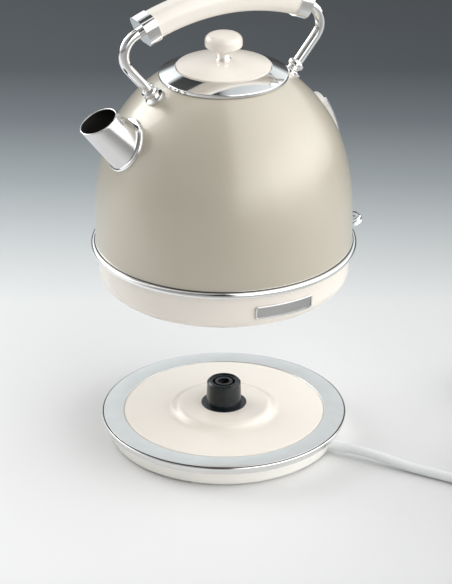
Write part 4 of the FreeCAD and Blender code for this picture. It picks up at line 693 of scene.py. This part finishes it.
def kettle_pieces():
    """Dome with its spout hole and gauge window, and the band round its foot, each turned on the Z axis."""
    outer, inner = dome_skin(), dome_skin(-DOME_WALL)[::-1]
    neck_bore, neck_top, flange_top = NECK_RADIUS - DOME_WALL, BAND_TOP + DOME_WALL, FLANGE_LOW + DOME_WALL
    dome = turned("enamel_dome", np.concatenate([
        [(FLANGE_BORE, FLANGE_LOW), (NECK_RADIUS, FLANGE_LOW), (NECK_RADIUS, BAND_TOP)], outer, inner[:-1],
        [(DOME_RADIUS - DOME_WALL, neck_top), (neck_bore, neck_top), (neck_bore, flange_top),
         (FLANGE_BORE, flange_top)]]), "kettle", "cream_enamel", ("body_shell",), steps=256)
    cut(dome, *prism(circle(SPOUT_BORE, 96), *SPOUT_CUT, leaning(SPOUT_SEAT, SPOUT_RISE, -1)))
    window = rounded_box(-GAUGE_HALF, GAUGE_HALF, GAUGE_LOW, GAUGE_HIGH, GAUGE_CORNER)
    cut(dome, *prism(window, *GAUGE_CUT, lambda points: raised(points[:, [2, 0, 1]])))
    band = turned("bright_band", rounded([
        (BAND_BORE, BAND_LOW), (BAND_NECK, BAND_LOW), (BAND_NECK, ROLL_LOW),
        (BAND_EDGE, ROLL_LOW, ROLL_ROUNDING), (BAND_EDGE, ROLL_HIGH, ROLL_ROUNDING), (98.75, ROLL_HIGH),
        (98.6, 34.1), (98.2, 34.1), (98.15, 34.9), (98.05, BAND_TOP), (BAND_BORE, BAND_TOP)]),
        "kettle", "chrome", ("trim_band",), steps=256)
    # Painted shade: the plating in the band's crease groove is darkened.
    mark_dullness_and_painted_shade(band, ring_zone(band, **BAND_CREASE_SHADE))


LEVER_PLACE, LEVER_HEIGHT, LEVER_RISE = 88.0, 20.5, math.radians(12.0)
BOSS_RADIUS, BOSS_HALF = 3.6, 11.1


def lever_piece():
    """Clear paddle with half-round edges and a shallow thumb dish, and the boss it turns on.

    The edges follow a quarter circle of the depth in from the edge. The dish sinks with the square of it.
    """
    half_reach, half_width, half_thick, corner, edge = 16.5, 8.5, 3.0, 7.0, 1.9
    dish_depth, dish_start, dish_slope = 0.8, 2.4, 3.0
    spots, depth = pad_grid(half_reach, half_width, corner)
    curve = 1 - np.minimum(depth, edge) / edge
    side = half_thick - edge + edge * np.sqrt(1 - curve ** 2)
    dish = dish_depth * np.clip((depth - dish_start) / dish_slope, 0, 1) ** 2

    def at_hinge(along, aside, height):
        """Lever points turned by the lever's rise about its hinge, by that angle's cosine and sine."""
        turn_x = along * math.cos(LEVER_RISE) - height * math.sin(LEVER_RISE)
        turn_z = along * math.sin(LEVER_RISE) + height * math.cos(LEVER_RISE)
        return np.stack([LEVER_PLACE + turn_x, aside, KETTLE_Z + LEVER_HEIGHT + turn_z], -1)

    along, aside = half_reach + spots[..., 0], spots[..., 1]
    paddle = slab(at_hinge(along, aside, side - dish), at_hinge(along, aside, -side))
    boss = spun(rounded([(0, -BOSS_HALF), (BOSS_RADIUS, -BOSS_HALF, 0.4), (BOSS_RADIUS, BOSS_HALF, 0.4),
                         (0, BOSS_HALF)]), 48)
    boss_points = at_hinge(boss[..., 0], boss[..., 2], boss[..., 1]).reshape(-1, 3)
    solid("clear_lever", *joined(paddle, (boss_points, grid_faces(*boss.shape[:2], True, True))),
          "switch", "clear_plastic", ("switch_lever",))


BADGE_HALF_ANGLE, BADGE_LOW, BADGE_HIGH = math.radians(14.0), 10.4, 20.9
BADGE_CORNER, BADGE_BACK, BADGE_FIELD, FIELD_DULLNESS = 1.7, 0.3, 1.0, 0.45
SKIRT_FOOT, SKIRT_FLARE = 94.4, 2.2


def skirt_radius(height):
    """The skirt's radius, which grows evenly from its foot to the band."""
    return SKIRT_FOOT + SKIRT_FLARE / BAND_LOW * height


def badge_piece():
    """Plate bent round the skirt: a rounded rectangle whose height steps down from a frame to a field."""
    middle, half_height = (BADGE_LOW + BADGE_HIGH) / 2, (BADGE_HIGH - BADGE_LOW) / 2
    girth = skirt_radius(middle)
    spots, depth = pad_grid(BADGE_HALF_ANGLE * girth, half_height, BADGE_CORNER)
    angle = spots[..., 0] / girth - np.pi / 2
    height = spots[..., 1] + middle

    def wrapped(proud):
        """Points of the plate at a distance out from the skirt."""
        return around(skirt_radius(height) + proud, angle, height + KETTLE_Z)

    step = np.interp(depth, (0, 0.25, 0.95, 1.25), (1.55, 1.8, 1.8, BADGE_FIELD))
    back = np.full_like(depth, BADGE_BACK)
    plate = solid("badge_frame", *slab(wrapped(back + step), wrapped(back)), "kettle", "chrome",
                  ("badge_plate",))
    across, along, up = vertex_places(plate)
    proud = np.hypot(across, along) - skirt_radius(up - KETTLE_Z)
    mark_dullness_and_painted_shade(plate, FIELD_DULLNESS * (np.abs(proud - BADGE_BACK - BADGE_FIELD) < 0.1))


def spout_radius(height):
    """The spout's outer radius at a distance along its axis from the dome."""
    return SPOUT_ROOT - (SPOUT_ROOT - SPOUT_MOUTH) / SPOUT_REACH * height


def root_heights(radius_at, stand, angles, low, high):
    """Height along each generator of a round piece where it meets the dome, by repeated halving."""
    halvings = 40
    low = np.full_like(angles, low)
    high = np.full_like(angles, high)
    for _ in range(halvings):
        middle = (low + high) / 2
        radius = radius_at(middle)
        outside = above_dome(stand(around(radius, angles, middle))) > 0
        high = np.where(outside, middle, high)
        low = np.where(outside, low, middle)
    return (low + high) / 2


def spout_piece():
    """Tapered tube: each generator runs from the dome to a mouth plane that slants, and back inside.

    The mouth's height falls with the cosine of the angle, and a half circle rolls the lip over.
    """
    stand = leaning(SPOUT_SEAT, SPOUT_RISE, -1)
    angles = np.linspace(0, 2 * np.pi, SPOUT_STEPS, endpoint=False)
    foot = root_heights(spout_radius, stand, angles, -12.0, 12.0)
    mouth = SPOUT_REACH - SPOUT_MOUTH * np.cos(angles) * MOUTH_SLANT
    along = np.linspace(0, 1, 24)[None, :]
    outer_z = foot[:, None] + (mouth - SPOUT_WALL / 2 - foot)[:, None] * along
    outer_r = spout_radius(outer_z)
    lip = np.radians(np.linspace(15, 165, 7))[None, :]
    lip_z = mouth[:, None] - SPOUT_WALL / 2 + SPOUT_WALL / 2 * np.sin(lip)
    lip_r = spout_radius(lip_z) - SPOUT_WALL / 2 + SPOUT_WALL / 2 * np.cos(lip)
    inner_z = outer_z[:, ::-1]
    inner_r = spout_radius(inner_z) - SPOUT_WALL
    height = np.concatenate([outer_z, lip_z, inner_z], 1)
    radius = np.concatenate([outer_r, lip_r, inner_r], 1)
    points = around(radius, angles[:, None], height)
    spout = solid("bright_spout", stand(points.reshape(-1, 3)),
                  grid_faces(*points.shape[:2], True, True), "kettle", "chrome", ("spout",))
    # Painted shade: the bore is darkened fully. The outside takes a plain, slightly duller tone.
    inside = np.arange(points.shape[1]) >= outer_z.shape[1] + lip.size - 1
    mark_dullness_and_painted_shade(spout, np.tile(np.where(inside, 1.0, OUTSIDE_DULLNESS), SPOUT_STEPS))


def collar_piece():
    """Ring on the dome round the spout's root, with a rounded outer edge.

    A point's height is the dome's own there, which changes evenly from bore to edge, plus the point's
    share of the ring's height.
    """
    stand = leaning(SPOUT_SEAT, SPOUT_SEAT_ANGLE, -1)
    angles = np.linspace(0, 2 * np.pi, SPOUT_STEPS, endpoint=False)
    profile_top = 2.6
    outline = rounded([(COLLAR_EDGE, 0.0), (COLLAR_EDGE, profile_top, 1.2), (COLLAR_BORE, profile_top)],
                      closed=False)
    bore_foot, edge_foot = [
        root_heights(lambda height, ring=ring: np.full_like(height, ring), stand, angles, -6.0, 6.0)[:, None]
        for ring in (COLLAR_BORE, COLLAR_EDGE)]
    outward = (outline[:, 0] - COLLAR_BORE) / (COLLAR_EDGE - COLLAR_BORE)
    upward = np.clip(outline[:, 1] / profile_top, 0, 1)
    top = bore_foot + (edge_foot - bore_foot) * outward + upward * COLLAR_HEIGHT
    height = np.concatenate([top, bore_foot], 1)
    points = around(np.append(outline[:, 0], COLLAR_BORE), angles[:, None], height)
    solid("spout_ring", stand(points.reshape(-1, 3)), grid_faces(*points.shape[:2], True, True),
          "kettle", "chrome", ("spout_collar",))


# handle

SIDE_NAMES = {-1: "front", 1: "rear"}
STUD_SHANK, STUD_DEPTH, STUD_FOOT, STUD_NECK, STUD_BALL, STUD_TOP = 2.5, -9.0, 7.6, 4.6, 6.4, 10.2
ROD_RADIUS, ROD_BEND, ROD_SINK = 4.0, 16.0, 0.5
GRIP_ARC, GRIP_CENTRE = 170.0, 54.5
GRIP_HALF_ANGLE, GRIP_END = 20.0, 23.4
GRIP_HALF_WIDTH, GRIP_HALF_HEIGHT, GRIP_CORNER = 12.0, 9.5, 8.0
GRIP_CAP_STEP = 1.0


def swept(name, path, headings, section, body, slot, replaced):
    """A closed section carried along a path in the XZ plane, with flat ends.

    The section's first axis lies along Y, and its second is square to the path's heading.
    """
    across = np.stack([-headings[:, 1], np.zeros(len(path)), headings[:, 0]], -1)
    centre = np.stack([path[:, 0], np.zeros(len(path)), path[:, 1]], -1)
    grid = centre[:, None, :] + section[None, :, :1] * [0, 1, 0] + section[None, :, 1:] * across[:, None, :]
    start, end = grid[0].mean(0), grid[-1].mean(0)
    grid = np.concatenate([np.broadcast_to(start, (1, len(section), 3)), grid,
                           np.broadcast_to(end, (1, len(section), 3))])
    faces = grid_faces(len(grid), len(section), False, True)
    return solid(name, raised(grid.reshape(-1, 3)), faces, body, slot, replaced)


def path_headings(path):
    """Unit direction of travel at each point of a path, from the step between its neighbours."""
    step = np.gradient(path, axis=0)
    return step / np.linalg.norm(step, axis=1)[:, None]


def grip_section(step=0.0):
    """The grip's rounded section, wider all round by a step."""
    half_width, half_height = GRIP_HALF_WIDTH + step, GRIP_HALF_HEIGHT + step
    return rounded_box(-half_width, half_width, -half_height, half_height, GRIP_CORNER)


def grip_path(start, end, count):
    """Points of the grip's arc between two angles from the vertical, and its directions there."""
    angles = np.radians(np.linspace(start, end, count))
    path = np.stack([GRIP_ARC * np.sin(angles), GRIP_CENTRE + GRIP_ARC * np.cos(angles)], -1)
    return path, np.stack([np.cos(angles), -np.sin(angles)], -1)


def handle_pieces():
    """Stud, rod and grip cap at front and rear, and the grip between them.

    A rod leaves its stud straight and reaches the grip's end along the grip's tangent. Its corner, where
    those two lines cross, is rounded with an arc.
    """
    seat_way = heading(STUD_ANGLE)
    (end,), (tangent,) = grip_path(GRIP_END, GRIP_END, 1)
    rise = np.linalg.solve(np.stack([seat_way, -tangent], 1), end - STUD_SEAT)[0]
    corner = STUD_SEAT + seat_way * rise
    rod = rounded([STUD_SEAT + seat_way * (STUD_TOP - ROD_SINK), (*corner, ROD_BEND), end],
                  closed=False)
    rod = np.concatenate([np.linspace(rod[0], rod[1], 6)[:-1], rod[1:-1],
                          np.linspace(rod[-2], rod[-1], 4)[1:]])
    for side, word in SIDE_NAMES.items():
        turned(f"{word}_stud", rounded([
            (0, STUD_DEPTH), (STUD_SHANK, STUD_DEPTH), (STUD_SHANK, 0), (STUD_FOOT, -0.3),
            (STUD_FOOT, 1.6, 0.7), (STUD_NECK, 3.2, 0.8), (STUD_NECK, 4.0, 0.8), (STUD_BALL, 5.6, 1.8),
            (STUD_BALL, 8.6, 1.8), (4.3, STUD_TOP, 0.4), (0, STUD_TOP)]), "kettle", "chrome",
            (f"{word}_handle_stud",), 64, leaning(STUD_SEAT, STUD_ANGLE, side))
        path = rod * [side, 1]
        swept(f"{word}_rod", path, path_headings(path), circle(ROD_RADIUS), "kettle", "chrome",
              (f"{word}_handle_arm",))
        swept(f"{word}_grip_cap", *grip_path(GRIP_HALF_ANGLE * side, GRIP_END * side, 6),
              grip_section(GRIP_CAP_STEP), "kettle", "chrome", (f"{word}_ferrule",))
    swept("cream_grip", *grip_path(-GRIP_HALF_ANGLE, GRIP_HALF_ANGLE, 60), grip_section(), "kettle",
          "cream_gloss", ("handle_grip",))


# lid

LID_GAP, LIP_HEIGHT, RIM_RISE, CAP_STEP, STEM_HEIGHT = 0.6, 2.8, 5.0, 0.8, 7.0
LIP_RADIUS, RIM_BORE, RIM_SHEET = 48.2, 35.5, 1.4
CAP_RADIUS, CAP_FLAT, CAP_RISE, CAP_SHEET, CAP_FLANGE = 35.2, 6.9, 4.0, 1.4, 36.7
SCREW_HOLE, STEM_RADIUS, STEM_WAIST = 2.3, 5.5, 4.6
KNOB_FOOT, KNOB_RADIUS, KNOB_HEIGHT, KNOB_BORE = 6.9, 14.0, 13.0, 8.3
LIP_LOW = crown_height(LIP_RADIUS) + LID_GAP
RIM_UNDER = crown_height(MOUTH_RADIUS) + LID_GAP
LIP_TOP = LIP_LOW + LIP_HEIGHT
RIM_TOP = LIP_TOP + RIM_RISE
CAP_EDGE = RIM_TOP + CAP_STEP
CAP_TOP = CAP_EDGE + CAP_RISE
STEM_TOP = CAP_TOP + STEM_HEIGHT


def lid_pieces():
    """Rim, cap, stem and knob of the lid, each an outline carried round the Z axis.

    The cap's crown is the arc that rises by a height over a half width: its radius is the sum of their
    squares over twice the height.
    """
    turned("bright_lid_rim", rounded([
        (LIP_RADIUS, LIP_LOW, 0.4), (LIP_RADIUS, LIP_TOP, 0.9), (RIM_BORE, RIM_TOP, 0.5),
        (RIM_BORE, RIM_TOP - RIM_SHEET), (42.0, RIM_UNDER), (44.0, RIM_UNDER)]),
        "lid", "chrome", ("lid_rim",), steps=256)
    half_width = CAP_RADIUS - CAP_FLAT
    crown = (half_width ** 2 + CAP_RISE ** 2) / (2 * CAP_RISE)
    top = math.degrees(math.asin(half_width / crown))
    crown_arc = arc((CAP_FLAT, CAP_TOP - crown), crown, 90 - top, 90, 24)
    flange_top = RIM_TOP - RIM_SHEET * 1.75
    flange_low = flange_top - CAP_SHEET
    turned("cream_lid_cap", np.concatenate([
        [(CAP_FLANGE, flange_low), (CAP_FLANGE, flange_top), (CAP_RADIUS, flange_top),
         (CAP_RADIUS, CAP_EDGE - 0.5)], crown_arc,
        [(SCREW_HOLE, CAP_TOP), (SCREW_HOLE, CAP_TOP - CAP_SHEET)], crown_arc[::-1] - [1.0, CAP_SHEET],
        [(CAP_RADIUS - CAP_SHEET, flange_low)]]), "lid", "cream_gloss", ("lid_cap",), steps=256)
    turned("bright_knob_stem", rounded([
        (SCREW_HOLE, CAP_TOP), (STEM_RADIUS, CAP_TOP), (STEM_RADIUS, CAP_TOP + 1.0, 0.4),
        (STEM_WAIST, CAP_TOP + 2.2, 0.8), (STEM_WAIST, STEM_TOP - 1.6, 0.8), (STEM_RADIUS, STEM_TOP, 0.3),
        (SCREW_HOLE, STEM_TOP)]), "lid", "chrome", ("knob_stem",), steps=96)
    turned("cream_knob", rounded([
        (0, STEM_TOP + KNOB_BORE), (SCREW_HOLE, STEM_TOP + KNOB_BORE), (SCREW_HOLE, STEM_TOP),
        (KNOB_FOOT, STEM_TOP, 0.6), (KNOB_RADIUS, STEM_TOP + 4.0, 2.0),
        (KNOB_RADIUS, STEM_TOP + KNOB_HEIGHT, 5.0), (0, STEM_TOP + KNOB_HEIGHT)]),
        "lid", "cream_gloss", ("lid_knob",), steps=128)


power_cord()
base_pieces()
kettle_pieces()
lever_piece()
badge_piece()
spout_piece()
collar_piece()
handle_pieces()
lid_pieces()


# CAD nodes that show as they are

WELD_DISTANCE = 1e-5


def dress_nodes():
    """Finish by slot and smooth shading for each node; sharp edges stay by a weld and a split."""
    slots = {item["node"]: item["material_slot"] for item in frame["record"]["subparts"]}
    for name, obj in frame["nodes"].items():
        obj.data.materials.clear()
        obj.data.materials.append(NODE_FINISHES.get(name, FINISHES[slots[name]]))
        obj.data.polygons.foreach_set("use_smooth", np.ones(len(obj.data.polygons), dtype=bool))
        weld = obj.modifiers.new("weld", "WELD")
        weld.merge_threshold = WELD_DISTANCE
        split = obj.modifiers.new("split", "EDGE_SPLIT")
        split.split_angle = SHARP_ANGLE


dress_nodes()


# floor and light

FLOOR_REACH = 6.0
SHADE_FRONT, SHADE_BACK, SHADE_SIDE = -0.9, 1.1, 0.4


def floor_finish():
    """Floor with a painted pool of light round the kettle; painted shade darkens it to a dark blue-grey
    behind and a little in front, and a painted light falloff dims it to the right.
    """
    finish = Finish("table_top", Roughness=0.6, Specular_IOR_Level=0.0)
    right, away, _ = finish.stage_parts(finish.place)
    # Painted pool of light and shade along the stage's depth.
    depth = finish.ramp(
        finish.span(away, 0.0, 1.0, SHADE_FRONT, SHADE_BACK),
        (0.0, (0.44, 0.43, 0.42)), (0.20, (0.50, 0.49, 0.48)), (0.345, 0.80), (0.45, 0.83),
        (0.565, (0.75, 0.76, 0.76)), (0.631, (0.53, 0.555, 0.565)), (0.70, (0.315, 0.345, 0.358)),
        (0.78, (0.155, 0.173, 0.186)), (0.857, (0.086, 0.095, 0.103)), (1.0, (0.072, 0.079, 0.085)))
    # Painted light falloff across the stage, lighter on the left.
    side = finish.ramp(finish.span(right, 0.0, 1.0, -SHADE_SIDE, SHADE_SIDE), (0.0, 1.05), (1.0, 0.79))
    finish.colour(finish.mix("MULTIPLY", 1.0, depth, side))
    return finish.material


def add_floor():
    """Level square, as part of the stage, large enough to fill the view from any side."""
    corners = FLOOR_REACH * np.array([-RIGHT - AWAY, RIGHT - AWAY, RIGHT + AWAY, AWAY - RIGHT])
    mesh = bpy.data.meshes.new("table_top")
    mesh.from_pydata(corners.tolist(), [], [list(range(len(corners)))])
    mesh.materials.append(floor_finish())
    sheet = bpy.data.objects.new("table_top", mesh)
    bpy.context.collection.objects.link(sheet)


def at_bearing(bearing, rise, distance):
    """Stage place at an angle round from its front, positive to the right, and an angle above level."""
    turn, lift = math.radians(bearing), math.radians(rise)
    return (distance * math.cos(lift) * math.sin(turn), -distance * math.cos(lift) * math.cos(turn),
            KETTLE_Z + distance * math.sin(lift))


def softbox(name, place, side, power):
    """Square soft lamp of a side in metres at a stage place, facing the kettle's underside."""
    lamp = bpy.data.lights.new(name, "AREA")
    lamp.shape = "RECTANGLE"
    lamp.size = lamp.size_y = side
    lamp.energy = power
    holder = bpy.data.objects.new(name, lamp)
    bpy.context.collection.objects.link(holder)
    start, aim = np.array(on_stage(*place)), np.array(on_stage(0, 0, KETTLE_Z))
    holder.location = start
    holder.rotation_euler = Vector(aim - start).to_track_quat("-Z", "Y").to_euler()


def add_lamps():
    """Two weak soft lamps, one behind on the left and a larger, lower one on the right."""
    softbox("left_box", at_bearing(bearing=-120.0, rise=31.0, distance=1700), side=0.9, power=7.0)
    softbox("right_box", at_bearing(bearing=70.0, rise=14.0, distance=2000), side=1.8, power=5.5)


def add_room():
    """Pale studio walls with a dimmer ceiling, all fixed in the room.

    The light from a direction is the walls' at its bearing times the ceiling's at its rise. Three soft
    masks then dim parts of it: the low wall behind, a flag high at the back left and a narrow gap in
    front. A bearing is counted from 0 behind, by 0.5 in front, to 1 behind again.
    """
    world = bpy.data.worlds.new("room")
    bpy.context.scene.world = world
    world.use_nodes = True
    room = Nodes(world.node_tree)
    right, away, up = room.stage_parts(room.node("ShaderNodeTexCoord").outputs["Generated"])
    turn = room.maths("ARCTAN2", right, room.maths("MULTIPLY", away, -1.0))
    bearing = room.maths("ADD", room.maths("DIVIDE", turn, 2 * math.pi), 0.5)
    walls = room.ramp(
        bearing, (0.0, 0.92), (0.04, 1.04), (0.09, 2.3), (0.18, 2.7), (0.25, 1.25), (0.33, 0.40),
        (0.45, 0.33), (0.515, 0.36), (0.55, 2.1), (0.62, 2.4), (0.79, 2.4), (0.87, 1.5), (0.96, 0.96),
        (1.0, 0.90))
    ceiling = room.ramp(up, (0.0, 0.5), (0.2, 1.0), (0.3, 0.95), (0.5, 0.76), (0.9, 0.66))
    light = room.mix("MULTIPLY", 1.0, walls, ceiling)

    behind = room.ramp(bearing, (0.10, 1.0), (0.16, 0.0), (0.84, 0.0), (0.90, 1.0))
    low_wall = room.ramp(up, (0.20, 0.12), (0.32, (0.94, 0.985, 1.0)))
    back_left = room.ramp(bearing, (0.0, 0.25), (0.02, 1.0), (0.16, 1.0), (0.21, 0.0), (0.98, 0.0),
                          (1.0, 0.25))
    flag = room.ramp(up, (0.54, 1.0), (0.61, 0.05), (0.96, 0.05), (0.99, 0.7))
    in_front = room.ramp(bearing, (0.45, 0.0), (0.47, 1.0), (0.515, 1.0), (0.535, 0.0))
    gap = room.ramp(up, (0.30, 1.0), (0.40, 0.15))
    for zone, shade in ((behind, low_wall), (back_left, flag), (in_front, gap)):
        light = room.mix("MULTIPLY", zone, light, shade)
    background = room.tree.nodes["Background"]
    background.inputs["Strength"].default_value = 1.12
    room.feed(background.inputs["Color"], light)


add_floor()
add_lamps()
add_room()
bpy.context.scene.view_settings.view_transform = "Standard"
